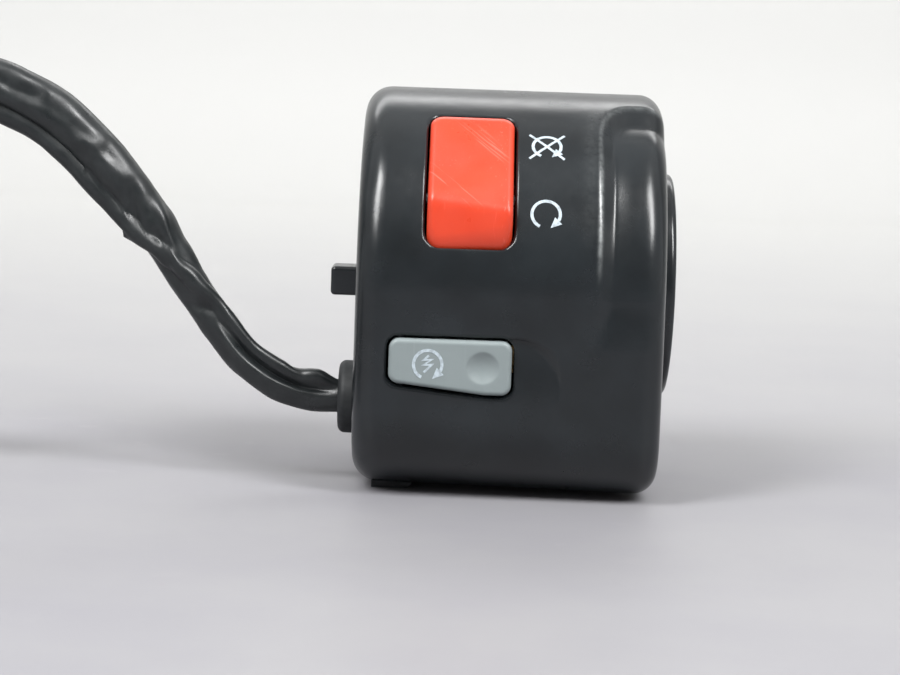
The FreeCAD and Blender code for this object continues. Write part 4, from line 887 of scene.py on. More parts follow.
@dataclass
class Studio:
    """Pale table and backdrop, soft light and the camera at the photograph's angle."""

    floor: float = -33.33
    pitch: float = 7.0
    roll: float = 2.05
    distance: float = 430.0
    target: tuple = (-9.5, 0.0, -10.5)
    lens: float = 99.6
    table_end: float = 620.0
    half_width: float = 2500.0
    cove: float = 160.0
    wall: float = 1500.0

    def build(self) -> None:
        """Make the camera, the table and the light."""
        self.make_camera()
        self.make_table()
        self.make_world()
        self.make_lamps()
        report.info("studio: camera, table and lamps")

    def make_camera(self) -> None:
        """Put the camera where the photograph was taken from."""
        pitch, roll = math.radians(self.pitch), math.radians(self.roll)
        back = Vector((0, -math.cos(pitch), math.sin(pitch)))
        level = Vector((1, 0, 0))
        upright = back.cross(level)
        across = level * math.cos(roll) + upright * math.sin(roll)
        above = upright * math.cos(roll) - level * math.sin(roll)
        data = bpy.data.cameras.new("camera")
        data.lens = self.lens
        data.clip_start = 0.01
        camera = bpy.data.objects.new("camera", data)
        bpy.context.scene.collection.objects.link(camera)
        turn = Matrix((across, above, back)).transposed().to_4x4()
        place = (Vector(self.target) + back * self.distance) * MM
        camera.matrix_world = Matrix.Translation(place) @ turn
        bpy.context.scene.camera = camera

    def make_table(self) -> None:
        """A table top that curves up into a pale wall."""
        mesh = bmesh.new()
        outline = [(-1500.0, 0.0), (self.table_end, 0.0)]
        for step in range(1, 13):
            angle = QUARTER * step / 12
            outline.append((self.table_end + self.cove * math.sin(angle), self.cove * (1 - math.cos(angle))))
        outline.append((self.table_end + self.cove, self.wall))
        places = [(-self.half_width, y, z + self.floor) for y, z in outline]
        verts = [bmesh.ops.create_vert(mesh, co=place)["vert"][0] for place in places]
        edges = [mesh.edges.new(pair) for pair in zip(verts, verts[1:])]
        wide = bmesh.ops.extrude_edge_only(mesh, edges=edges)
        moved = [item for item in wide["geom"] if isinstance(item, bmesh.types.BMVert)]
        bmesh.ops.translate(mesh, vec=(self.half_width * 2, 0, 0), verts=moved)
        table = finish_mesh("table", mesh, 80.0)
        if table.data.polygons[0].normal.z < 0:
            table.data.flip_normals()
        shades = Shades("table_top")
        cloud = shades.ramp(shades.grain(14.0, 5.0, 0.6), 0.35, 0.7, 0.0, 1.0)
        top = shades.blend(cloud, (0.262, 0.258, 0.270), (0.232, 0.228, 0.249))
        wide_lines = shades.scratches(90.0, 0.69, 0.9)
        fine_lines = shades.scratches(120.0, 0.70, -0.3)
        lines = shades.times(wide_lines, fine_lines, "MAXIMUM")
        marked = shades.times(lines, shades.ramp(shades.grain(9.0, 2.0), 0.45, 0.62, 0.0, 0.22))
        top = shades.blend(marked, top, (0.30, 0.28, 0.30))
        specks = shades.times(
            shades.ramp(shades.grain(260.0, 2.0), 0.72, 0.76, 0.0, 0.35),
            shades.ramp(shades.grain(11.0, 2.0), 0.5, 0.6, 0.0, 1.0),
        )
        top = shades.blend(specks, top, (0.25, 0.22, 0.24))
        rise = shades.ramp(shades.measured((0.0, 1.0, 0.0)), 0.0, 600.0, 0.0, 1.0)
        shades.link(shades.blend(rise, top, (0.622, 0.622, 0.611)), "Base Color")
        shades.put(Roughness=0.5)
        shades.open_behind()
        table.data.materials.append(shades.material)

    def make_world(self) -> None:
        """Soft even light from all round, darker from the camera's side."""
        world = bpy.data.worlds.new("room")
        world.use_nodes = True
        tree = world.node_tree
        coordinates = tree.nodes.new("ShaderNodeTexCoord")
        apart = tree.nodes.new("ShaderNodeSeparateXYZ")
        tree.links.new(coordinates.outputs["Generated"], apart.inputs["Vector"])
        depth = tree.nodes.new("ShaderNodeMapRange")
        depth.inputs["From Min"].default_value = -1.0
        depth.inputs["From Max"].default_value = 0.6
        depth.inputs["To Min"].default_value = 0.20
        depth.inputs["To Max"].default_value = 0.95
        tree.links.new(apart.outputs["Y"], depth.inputs["Value"])
        backdrop = tree.nodes["Background"]
        backdrop.inputs["Color"].default_value = (1.0, 1.0, 1.0, 1.0)
        tree.links.new(depth.outputs["Result"], backdrop.inputs["Strength"])
        bpy.context.scene.world = world

    def lamp(self, name: str, place: Sequence[float], size: Corner, power: float) -> None:
        """A soft rectangular lamp that faces the switch.

        Args:
            name: Name of the lamp.
            place: Where it hangs, in millimetres.
            size: Its width and height in millimetres.
            power: Its power in watts.
        """
        data = bpy.data.lights.new(name, "AREA")
        data.shape = "RECTANGLE"
        data.size, data.size_y = size[0] * MM, size[1] * MM
        data.energy = power
        lamp = bpy.data.objects.new(name, data)
        bpy.context.scene.collection.objects.link(lamp)
        here = Vector(place) * MM
        lamp.location = here
        lamp.rotation_euler = (-here).to_track_quat("-Z", "Y").to_euler()

    def make_lamps(self) -> None:
        """Overhead softbox towards the back and a tall one at each side in front."""
        self.lamp("overhead", (0, 770, 600), (1100, 340), 4.6)
        self.lamp("left_softbox", (-480, -465, 735), (260, 560), 10.4)
        self.lamp("right_softbox", (480, -465, 735), (260, 560), 10.4)


# Harness


# Radius in millimetres at which a crease's degrees are turned into a length round the sleeve
CREASE_RADIUS = 3.6


@dataclass(frozen=True)
class Fold:
    """Section of the folded sleeve at one distance along it: a broad lobe and a thin one beside it.

    Lengths are in millimetres. The angle is in degrees: 90 is below, 180 towards the rider, 270 on top.
    """

    along: float
    broad: float
    broad_off: float
    thin: float
    thin_off: float
    facing: float

    def toward(self, other: "Fold", share: float) -> "Fold":
        """The section part of the way to another one.

        Args:
            other: The other section.
            share: How far along the way, 0 to 1.

        Returns:
            The section.
        """
        mine, theirs = vars(self).values(), vars(other).values()
        return Fold(*(first + (second - first) * share for first, second in zip(mine, theirs)))

    def reach(self, angle: float) -> float:
        """How far the sleeve's skin is from the centreline at an angle in degrees."""
        turn = math.radians(angle - self.facing)
        sine, cosine = math.sin(turn), math.cos(turn)
        broad = -self.broad_off * cosine + math.sqrt(self.broad**2 - (self.broad_off * sine) ** 2)
        inside = self.thin**2 - (self.thin_off * sine) ** 2
        if cosine <= 0 or inside <= 0:
            return broad
        return -soft_lower(-broad, -self.thin_off * cosine - math.sqrt(inside), 0.06)


@dataclass(frozen=True)
class Crease:
    """A narrow groove over the sleeve, or a ridge where its depth is negative.

    Its start and its end are each a distance along the sleeve and an angle in degrees.
    """

    start: Corner
    end: Corner
    depth: float
    width: float

    def fall(self, along: float, angle: float) -> float:
        """How deep it is at a place on the sleeve.

        Args:
            along: Distance along the sleeve.
            angle: Angle round it in degrees.

        Returns:
            The depth in millimetres.
        """
        around = math.radians(1.0) * CREASE_RADIUS
        run = Vector((self.end[0] - self.start[0], (self.end[1] - self.start[1]) * around))
        offset = Vector((along - self.start[0], (angle - self.start[1]) * around))
        share = min(1.0, max(0.0, offset.dot(run) / run.length_squared))
        away = (offset - run * share).length / self.width
        taper = 1.0 - abs(2 * share - 1) ** 3
        return self.depth * taper * math.exp(-away * away) if away < 3.0 else 0.0


@dataclass
class Harness:
    """Sleeved wiring harness with its tie, grommet and plug."""

    exit_x: float = -27.7
    diameter: float = 6.8
    floor: float = -33.3
    coil_radius: float = 38.3
    coil_pitch: float = 7.3
    coil_turns: float = 1.25
    coil_steps: int = 24
    tail_radius: float = 21.5
    tail_turn: float = 135.0
    tie_angle: float = 20.0
    tie_width: float = 2.8
    tie_thickness: float = 0.75
    tie_gap: float = 0.35
    plug_length: float = 17.0
    plug_width: float = 11.0
    plug_height: float = 7.2
    sides: int = 72
    ring_step: float = 0.6
    ripple: float = 0.34
    fine_ripple: float = 0.06
    route: tuple = (
        (-24.2, -16.0, -19.0),
        (-31.2, -16.0, -19.0),
        (-38.0, -16.1, -16.9),
        (-43.8, -16.1, -12.7),
        (-48.4, -16.0, -6.8),
        (-57.0, -15.8, 4.9),
        (-66.3, -16.0, 16.5),
        (-75.6, -16.1, 25.7),
        (-87.5, -16.3, 31.2),
        (-99.5, -18.4, 30.4),
        (-109.5, -21.8, 25.6),
        (-116.0, -24.4, 15.6),
        (-119.0, -25.6, 4.0),
        (-121.0, -26.3, -8.5),
        (-125.2, -28.0, -18.3),
        (-132.8, -31.3, -25.6),
        (-142.4, -35.7, -28.8),
        (-152.5, -40.4, -28.8),
    )
    folds: tuple[Fold, ...] = (
        Fold(0.0, 2.8, 0.1, 0.9, 2.0, 245.0),
        Fold(3.2, 2.7, 0.2, 1.0, 1.9, 245.0),
        Fold(8.0, 2.7, 0.7, 1.45, 3.0, 247.0),
        Fold(13.5, 2.7, 0.7, 1.25, 2.45, 242.0),
        Fold(21.0, 2.75, 0.7, 1.1, 2.3, 237.0),
        Fold(26.0, 2.85, 0.6, 1.2, 2.2, 235.0),
        Fold(30.5, 2.9, 0.5, 1.3, 2.0, 228.0),
        Fold(36.0, 2.95, 0.5, 1.5, 2.2, 200.0),
        Fold(42.0, 3.3, 0.5, 1.5, 2.4, 168.0),
        Fold(48.0, 3.6, 0.7, 1.6, 3.0, 132.0),
        Fold(54.0, 3.75, 0.9, 1.6, 3.2, 117.0),
        Fold(64.0, 3.9, 1.0, 1.45, 3.4, 113.0),
        Fold(76.0, 4.05, 1.0, 1.6, 3.5, 111.0),
        Fold(90.0, 4.1, 1.0, 1.5, 3.5, 108.0),
        Fold(110.0, 3.9, 0.8, 1.4, 3.1, 100.0),
        Fold(130.0, 3.5, 0.3, 1.0, 2.4, 95.0),
        Fold(150.0, 3.35, 0.0, 0.8, 2.0, 95.0),
    )
    creases: tuple[Crease, ...] = (
        Crease((51.0, 252.0), (38.0, 176.0), -0.50, 1.00),
        Crease((34.0, 112.0), (29.0, 226.0), 0.60, 1.00),
        Crease((48.5, 150.0), (56.0, 225.0), 0.60, 1.10),
        Crease((56.0, 232.0), (69.0, 204.0), 0.50, 1.10),
        Crease((66.0, 208.0), (98.0, 216.0), 0.60, 1.20),
        Crease((66.0, 150.0), (88.0, 164.0), -0.22, 1.20),
        Crease((3.0, 208.0), (29.0, 196.0), 0.80, 0.95),
        Crease((8.0, 176.0), (29.0, 168.0), -0.35, 1.00),
        Crease((9.5, 226.0), (14.0, 262.0), 0.26, 0.80),
        Crease((48.0, 84.0), (49.5, 104.0), -1.40, 1.40),
        Crease((38.0, 150.0), (47.0, 196.0), 0.55, 1.00),
        Crease((62.0, 236.0), (66.0, 176.0), -0.45, 1.20),
        Crease((74.0, 238.0), (80.0, 182.0), 0.40, 1.30),
        Crease((86.0, 196.0), (94.0, 240.0), -0.35, 1.40),
        Crease((100.0, 160.0), (112.0, 220.0), 0.45, 1.30),
    )

    def build(self, shelf: FinishShelf) -> None:
        """Make the harness and all that is on it."""
        self.points, self.ways = self.coil_points()
        line = self.centreline()
        cord = self.make_sleeve(line)
        shelf.dress(cord, SLEEVE_VINYL)
        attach(cord, "root")
        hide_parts("harness_lead", "harness_coil")
        tie = self.make_tie(shelf)
        plug = self.make_plug(shelf)
        length = sum((after - before).length for before, after in zip(line, line[1:]))
        self.make_grommet(shelf)
        report.info("harness: %.0f mm of sleeve, tie, grommet and plug", length)

    def coil_points(self) -> tuple[list[Vector], Vector]:
        """Control points of the put-away coil after the route, and the direction at its end."""
        start, before = Vector(self.route[-1]), Vector(self.route[-2])
        way = Vector((start.x - before.x, start.y - before.y, 0)).normalized()
        entry = start + way * self.diameter
        right = Vector((way.y, -way.x, 0))
        centre = entry + right * self.coil_radius
        opening = math.atan2(way.x, -way.y)
        self.centre, self.opening = centre, opening
        points = [Vector(point) for point in self.route] + [entry]
        shrink = self.coil_pitch / (2 * math.pi)
        count = round(self.coil_steps * self.coil_turns)
        for step in range(1, count + 1):
            turn = 2 * math.pi * step / self.coil_steps
            reach = self.coil_radius - shrink * turn
            angle = opening - turn
            points.append(centre + Vector((math.cos(angle), math.sin(angle), 0)) * reach)
        last = points[-1]
        turn = 2 * math.pi * self.coil_turns
        angle = opening - turn
        reach = self.coil_radius - shrink * turn
        sine, cosine = math.sin(angle), math.cos(angle)
        way = Vector((reach * sine - shrink * cosine, -reach * cosine - shrink * sine, 0)).normalized()
        middle = last + Vector((way.y, -way.x, 0)) * self.tail_radius
        steps = 8
        for step in range(1, steps + 1):
            spin = Matrix.Rotation(-math.radians(self.tail_turn) * step / steps, 3, "Z")
            points.append(middle + spin @ (last - middle))
        end_way = Matrix.Rotation(-math.radians(self.tail_turn), 3, "Z") @ way
        points.append(points[-1] + end_way * self.diameter)
        return points, end_way

    def centreline(self) -> list[Vector]:
        """Evenly spaced points along the smooth curve through the route, in millimetres."""
        curve = bpy.data.curves.new("harness_line", "CURVE")
        curve.dimensions = "3D"
        spline = curve.splines.new("NURBS")
        spline.points.add(len(self.points) - 1)
        for knot, point in zip(spline.points, self.points):
            knot.co = (*point, 1.0)
        spline.order_u = 3
        spline.use_endpoint_u = True
        spline.resolution_u = 24
        holder = bpy.data.objects.new("harness_line", curve)
        bpy.context.scene.collection.objects.link(holder)
        depsgraph = bpy.context.evaluated_depsgraph_get()
        mesh = bpy.data.meshes.new_from_object(holder.evaluated_get(depsgraph))
        dense = [vertex.co.copy() for vertex in mesh.vertices]
        bpy.data.objects.remove(holder)
        bpy.data.curves.remove(curve)
        bpy.data.meshes.remove(mesh)
        line = [dense[0]]
        left = self.ring_step
        for before, after in zip(dense, dense[1:]):
            span = (after - before).length
            while span > left:
                before = before + (after - before).normalized() * left
                line.append(before)
                span -= left
                left = self.ring_step
            left -= span
        if (line[-1] - dense[-1]).length < self.ring_step / 3:
            line.pop()
        return line + [dense[-1]]

    def fold_at(self, along: float) -> Fold:
        """The folded section at a distance along the sleeve."""
        for before, after in zip(self.folds, self.folds[1:]):
            if along < after.along:
                return before.toward(after, eased((along - before.along) / (after.along - before.along)))
        return self.folds[-1]

    def skin(self, along: float, angle: float, fold: Fold, creases: Sequence[Crease]) -> float:
        """Distance of the sleeve's skin from its centreline.

        Args:
            along: Distance along the sleeve.
            angle: Angle round it in degrees.
            fold: Its section there.
            creases: The creases that come near.

        Returns:
            The distance in millimetres.
        """
        turn = math.radians(angle)
        around = Vector((along * 0.15, math.cos(turn) * 0.8, math.sin(turn) * 0.8))
        slack = 0.35 + 0.65 * eased(along / 8.0) * (1 - eased((along - 110.0) / 40.0))
        soft = self.ripple * noise.noise(around) + self.fine_ripple * noise.noise(around * 2.7)
        return fold.reach(angle) + slack * soft - sum(crease.fall(along, angle) for crease in creases)

    def make_sleeve(self, line: list[Vector]) -> bpy.types.Object:
        """The folded sleeve as one skin along its centreline."""
        side = Vector((0, 1, 0))
        rings = [[line[0]] * self.sides]
        for index, point in enumerate(line):
            way = (line[min(index + 1, len(line) - 1)] - line[max(index - 1, 0)]).normalized()
            side = (side - way * side.dot(way)).normalized()
            upright = way.cross(side)
            along = index * self.ring_step
            fold = self.fold_at(along)
            near = [
                crease
                for crease in self.creases
                if min(crease.start[0], crease.end[0]) - 4 < along < max(crease.start[0], crease.end[0]) + 4
            ]
            ring = []
            for step in range(self.sides):
                angle = 360.0 * step / self.sides
                outward = side * math.cos(math.radians(angle)) + upright * math.sin(math.radians(angle))
                ring.append(point + outward * self.skin(along, angle, fold, near))
            rings.append(ring)
        rings.append([line[-1]] * self.sides)
        return finish_mesh("wiring_sleeve", lofted(rings), 70.0)

    def make_tie(self, shelf: FinishShelf) -> bpy.types.Object:
        """Nylon strap with a small head round the two turns of the coil."""
        angle = self.opening - math.radians(self.tie_angle)
        middle = self.coil_radius - self.coil_pitch * (self.tie_angle / 360 + 0.5)
        outward = Vector((math.cos(angle), math.sin(angle), 0))
        place = self.centre + outward * middle
        turn = Matrix.Rotation(angle, 4, "Z")
        bore = self.diameter / 2 + self.tie_gap
        outside = self.strap(bore + self.tie_thickness, self.tie_width, 0.25)
        inside = self.strap(bore, self.tie_width * 2, 0.0)
        combine(outside, inside, Operation.CUT)
        head = block((-2.6, -1.9, bore + 0.1), (2.6, 1.9, bore + 1.9), 0.4)
        combine(outside, head, Operation.ADD)
        outside.data.transform(Matrix.Translation(place * MM) @ turn)
        outside.name = "harness_strap"
        shade(outside)
        shelf.dress(outside, TIE_NYLON)
        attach(outside, "root")
        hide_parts("harness_tie")
        return outside

    def strap(self, radius: float, width: float, edge: float) -> bpy.types.Object:
        """A flat-sided block with round ends, as wide as two turns of the coil.

        Args:
            radius: Radius of its ends.
            width: Its width along the sleeve.
            edge: Radius of its edges, or 0.

        Returns:
            The block.
        """
        half = self.coil_pitch / 2
        outline = []
        for centre, start in ((half, -QUARTER), (-half, QUARTER)):
            for step in range(25):
                angle = start + math.pi * step / 24
                outline.append((centre + radius * math.cos(angle), radius * math.sin(angle)))
        mesh = prism(outline, -width / 2, width / 2, lambda a, b, c: Vector((a, c, b)))
        if edge:
            rims = [item for item in mesh.edges if abs(item.verts[0].co.y - item.verts[1].co.y) < 1e-6]
            round_edges(mesh, rims, edge, 2)
        return finish_mesh("strap", mesh)

    def make_plug(self, shelf: FinishShelf) -> list[bpy.types.Object]:
        """Housing and latch of the nylon plug."""
        end = self.points[-1]
        heading = math.atan2(self.ways.y, self.ways.x)
        place = Matrix.Translation(Vector((end.x, end.y, self.floor)) * MM) @ Matrix.Rotation(heading, 4, "Z")
        length, half, height = self.plug_length, self.plug_width / 2, self.plug_height
        wall, mouth = 1.1, 6.5
        housing = block((0.0, -half, 0.0), (length, half, height), 0.55)
        socket = block((length - mouth, wall - half, wall), (length + 2, half - wall, height - wall), 0.2)
        combine(housing, socket, Operation.CUT)
        entry = bar((-1.0, 0, -self.floor + end.z), (1, 0, 0), self.diameter / 2 - 0.5, 3.0)
        combine(housing, entry, Operation.CUT)
        for edge in (-1, 1):
            rib = block((1.5, edge * half - 0.35, 1.6), (8.2, edge * half + 0.35, 5.6), 0.2)
            combine(housing, rib, Operation.ADD)
            for row in range(3):
                slot = block((2.3 + row * 2, edge * half - 0.9, 2.2), (3.2 + row * 2, edge * half + 0.9, 5.0))
                combine(housing, slot, Operation.CUT)
        latch = block((length - 8.0, -1.6, height + 0.5), (length, 1.6, height + 1.3), 0.25)
        foot = block((length - 8.0, -1.6, height - 0.05), (length - 6.3, 1.6, height + 0.9), 0.15)
        combine(latch, foot, Operation.ADD)
        hook = block((length - 1.4, -1.6, height + 1.0), (length - 0.2, 1.6, height + 1.75), 0.2)
        combine(latch, hook, Operation.ADD)
        for piece, name, node in (
            (housing, "plug_housing", "connector_housing"),
            (latch, "plug_latch", "connector_lock"),
        ):
            piece.data.transform(place)
            piece.name = name
            shade(piece)
            shelf.dress(piece, PLUG_NYLON)
            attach(piece, "root")
            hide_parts(node)
        return [housing, latch]

    def make_grommet(self, shelf: FinishShelf) -> None:
        """Rubber grommet with a rounded outer bead."""
        bore, outer, neck, inner, bead = 3.45, 6.05, 4.55, 5.6, 1.2
        end, wall_inside, wall_outside, face = -21.0, -22.5, -25.0, self.exit_x
        profile = [(end, bore), (end, inner - 0.3), (end - 0.3, inner), (wall_inside, inner)]
        profile += [(wall_inside, neck), (wall_outside, neck), (wall_outside, outer - 0.3)]
        profile.append((wall_outside - 0.3, outer))
        profile += rounded_corner((face + bead, outer - bead), bead, math.pi, 8)[::-1]
        profile += [(face, bore + 0.9), (face + 0.5, bore + 0.25), (face + 0.9, bore)]
        grommet = spun(profile, Matrix.Translation((0, -16.0, -19.0)))
        grommet.name = "cable_grommet"
        shelf.dress(grommet, BLACK_RUBBER)
        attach(grommet, "root")
        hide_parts("harness_grommet")


# Case


@dataclass
class Case:
    """The two halves of the switch case."""

    half_width: float = 25.0
    radius: float = 32.3
    floor: float = 32.5
    lower_corner: float = 12.4
    corner_slope: float = -0.09
    front_reach: float = 24.0
    front_corner: float = 16.0
    left_rim: float = 4.3
    right_rim: float = 3.8
    wall: float = 2.5
    hollow_inset: float = 2.4
    parting_round: float = 0.3
    bar_bore: float = 11.17
    sleeve_bore: float = 14.82
    lip_radius: float = 19.0
    lip_reach: float = 2.4
    lip_round: float = 0.9
    band_left: float = 13.9
    band_top_angle: float = 71.0
    band_depth: float = 1.9
    band_deepest: float = 68.0
    band_wall: float = 2.4
    band_swell: float = 4.0
    band_crown: float = 0.68
    band_valley: float = 0.20
    band_stretch: float = 1.95
    band_round: float = 0.5
    band_corner: float = 5.4
    band_fade: float = 9.0
    band_bend: float = 1.4
    scoop: tuple = (1.2, -13.7, 7.25)
    scoop_depth: float = 0.6
    scoop_margin: float = 0.3
    scoop_wall: float = 0.7
    window: tuple = (-14.2, 0.2, 16.66, 42.83)
    window_corner: float = 2.5
    window_round: float = 0.5
    button_window: tuple = (
        (-19.6, -6.5),
        (-19.6, -14.35),
        (-3.9, -16.0),
        (0.9, -16.0),
        (0.9, -6.5),
    )
    button_corner: float = 2.0
    button_round: float = 0.6
    stop_angle: float = 37.25
    rocker_pivot: float = 24.0
    rocker_sweep: float = 13.95
    lug: tuple = ((-29.5, -18.2, -1.9), (-24.0, -12.0, 2.9))
    lug_edge: float = 0.7
    tab: tuple = ((-21.7, -33.3), (-15.7, -33.3), (-14.9, -32.5), (-14.9, -31.4), (-21.7, -31.4))
    tab_reach: Corner = (-20.8, -13.8)
    tab_edge: float = 0.12
    grommet_start: tuple = (-27.0, -16.0, -19.0)
    grommet_hole: float = 4.6
    screw_x: float = 6.0
    screw_heights: tuple = (21.5, -22.5)
    screw_recess: float = 4.35
    port_x: float = 15.0
    port_heights: tuple = (4.5, -12.5)
    port_radius: float = 3.6
    cut_slack: float = 0.03

    def __post_init__(self) -> None:
        """Lay out the start button's window."""
        self.button_way = RoundedOutline(self.button_window, self.button_corner)

    def profile(
        self, side: Side, segment: int, share: float, x: float, inset: float
    ) -> tuple[Vector, Vector, float]:
        """Place and outward normal on a half's outer surface.

        Args:
            side: Which half.
            segment: Top arc, wall, lower arc or floor, 0 to 3.
            share: How far along that segment, 0 to 1.
            x: Place along the handlebar.
            inset: How far inside the outer surface.

        Returns:
            The place, the normal and the distance from the top parting line.
        """
        rider = side is Side.RIDER
        reach = self.radius if rider else self.front_reach
        corner = self.lower_corner + self.corner_slope * x if rider else self.front_corner
        crown = self.radius - reach
        sign = side.value
        if segment == 0:
            angle = QUARTER * (1 - share)
            normal = Vector((0, sign * math.cos(angle), math.sin(angle)))
            return Vector((x, 0, crown)) + normal * (reach - inset), normal, share * reach * QUARTER
        if segment == 1:
            straight = self.floor - corner + crown
            normal = Vector((0, sign, 0))
            place = Vector((x, sign * (reach - inset), crown - straight * share))
            return place, normal, reach * QUARTER + straight * share
        if segment == 2:
            angle = -QUARTER * share
            normal = Vector((0, sign * math.cos(angle), math.sin(angle)))
            middle = Vector((x, sign * (reach - corner), corner - self.floor))
            return middle + normal * (corner - inset), normal, math.inf
        normal = Vector((0, 0, -1))
        return Vector((x, sign * (reach - corner) * (1 - share), inset - self.floor)), normal, math.inf

    def band_inside(self, x: float, along: float) -> float:
        """How far inside the throttle band's edge a place lies.

        Args:
            x: Place along the handlebar.
            along: Distance from the top parting line, round the face.

        Returns:
            The distance, negative outside the band.
        """
        top = self.radius * math.radians(90 - self.band_top_angle)
        down = (along - top) / self.band_stretch
        fade = self.radius * QUARTER + self.band_fade
        bend = self.band_bend * eased((along - fade + self.band_fade) / self.band_fade)
        across = x - self.band_left + bend
        radius = self.band_corner
        if across < radius and down < radius:
            return radius - math.hypot(radius - across, radius - down)
        return min(across, down)

    def band_drop(self, x: float, along: float) -> float:
        """How far the surface lies below the main face in the throttle band.

        A wall falls from the edge to a valley, and from there the floor swells a little.

        Args:
            x: Place along the handlebar.
            along: Distance from the top parting line, round the face.

        Returns:
            The drop in millimetres.
        """
        inside = self.band_inside(x, along)
        if inside < -self.band_round or along == math.inf:
            return 0.0
        past = (inside - self.band_wall) / self.band_swell
        swell = 2 * past if past < 0 else 1 - (1 - min(past, 1.0)) ** 2
        floor = 1 - self.band_crown / self.band_depth * swell
        wall = inside / self.band_wall
        if inside < self.band_round:
            wall = (inside + self.band_round) ** 2 / (4 * self.band_round * self.band_wall)
        drop = max(0.0, soft_lower(wall, floor, self.band_valley / self.band_depth))
        angle = 90 - math.degrees(min(along, self.radius * QUARTER) / self.radius)
        depth = self.band_depth * math.cos(math.radians(angle - self.band_deepest))
        below = along - self.radius * QUARTER
        if below > 0:
            depth *= 1 - eased(below / self.band_fade)
        return depth * drop

    def scoop_drop(self, x: float, along: float) -> float:
        """How deep the thumb hollow is at a place.

        Args:
            x: Place along the handlebar.
            along: Distance from the top parting line, round the face.

        Returns:
            The depth in millimetres.
        """
        height = self.radius * QUARTER - along
        middle_x, middle_z, radius = self.scoop
        inside = radius - math.hypot(x - middle_x, height - middle_z)
        if inside < -self.scoop_margin or along == math.inf:
            return 0.0
        fall = (middle_z + radius - height) / (2 * radius)
        wall = eased((inside + self.scoop_margin) / self.scoop_wall)
        return self.scoop_depth * wall * (1 - eased(fall * 1.25))

    def window_drop(self, x: float, along: float) -> float:
        """How far the surface rolls over into the two windows.

        Args:
            x: Place along the handlebar.
            along: Distance from the top parting line, round the face.

        Returns:
            The drop in millimetres.
        """
        if along == math.inf:
            return 0.0
        left, right, low, high = self.window
        rocker = rounded_box_distance((x, along), (left, low), (right, high), self.window_corner)
        drop = roll_over(rocker, self.window_round)
        height = self.radius * QUARTER - along
        # Other places are too far from the start button's window to roll into it
        if -18.5 < height < -4.0 and x < 4.0:
            drop = max(drop, roll_over(self.button_way.distance((x, height)), self.button_round))
        return drop

    def drop(self, side: Side, x: float, along: float, bottom: float) -> float:
        """Everything that lowers a half's outer surface at a place.

        Args:
            side: Which half.
            x: Place along the handlebar.
            along: Distance from the top parting line, round the face.
            bottom: Distance from the parting line under the case.

        Returns:
            The drop in millimetres.
        """
        amount = roll_over(min(along, bottom), self.parting_round)
        if side is Side.RIDER and along != math.inf:
            amount += self.band_drop(x, along) + self.scoop_drop(x, along)
            amount = max(amount, self.window_drop(x, along))
        return amount

    def across_stations(self, side: Side) -> list[tuple[float, float]]:
        """Places along the handlebar with the inset that rounds each end."""
        places = []
        steps = 10
        for step in range(steps):
            angle = QUARTER * step / steps
            left = self.left_rim * (1 - math.sin(angle))
            places.append((self.left_rim * (1 - math.cos(angle)) - self.half_width, left))
        window_edges = (*self.window[:2], self.button_window[0][0], self.button_window[3][0])
        marks = [(edge, 1.0) for edge in window_edges]
        marks += [(self.band_left, 0.9), (16.3, 0.8), (8.4, 0.6)]
        step = 0.6 if side is Side.RIDER else 1.5
        low, high = self.left_rim - self.half_width, self.half_width - self.right_rim
        places += [(x, 0.0) for x in stations(low, high, step, 0.2, marks if side is Side.RIDER else [])]
        for step in range(1, steps + 1):
            angle = QUARTER * step / steps
            inset = self.right_rim * (1 - math.cos(angle))
            places.append((high + self.right_rim * math.sin(angle), inset))
        return places

    def around_stations(self, side: Side) -> list[tuple[int, float]]:
        """Places round a half as a segment and a share of it."""
        rider = side is Side.RIDER
        arc = QUARTER * (self.radius if rider else self.front_reach)
        marks = [(0.0, 0.6)]
        if rider:
            marks += [(10.7, 0.9), (self.window[2], 1.0), (self.window[3], 1.0)]
        coarse = 0.6 if rider else 1.2
        places = [(0, along / arc) for along in stations(0.0, arc, coarse, 0.2, marks)]
        straight = self.floor - self.lower_corner if rider else self.floor - self.front_corner + 8.3
        marks = [(6.5, 1.0), (14.4, 1.0), (16.0, 1.0)] if rider else []
        places += [(1, down / straight) for down in stations(0.0, straight, coarse, 0.24, marks)[1:]]
        steps = 20
        places += [(2, step / steps) for step in range(1, steps + 1)]
        places += [(3, step / 12) for step in range(1, 12)]
        places += [(3, 1 - 0.03), (3, 1 - 0.015), (3, 1 - 0.005), (3, 1.0)]
        return places

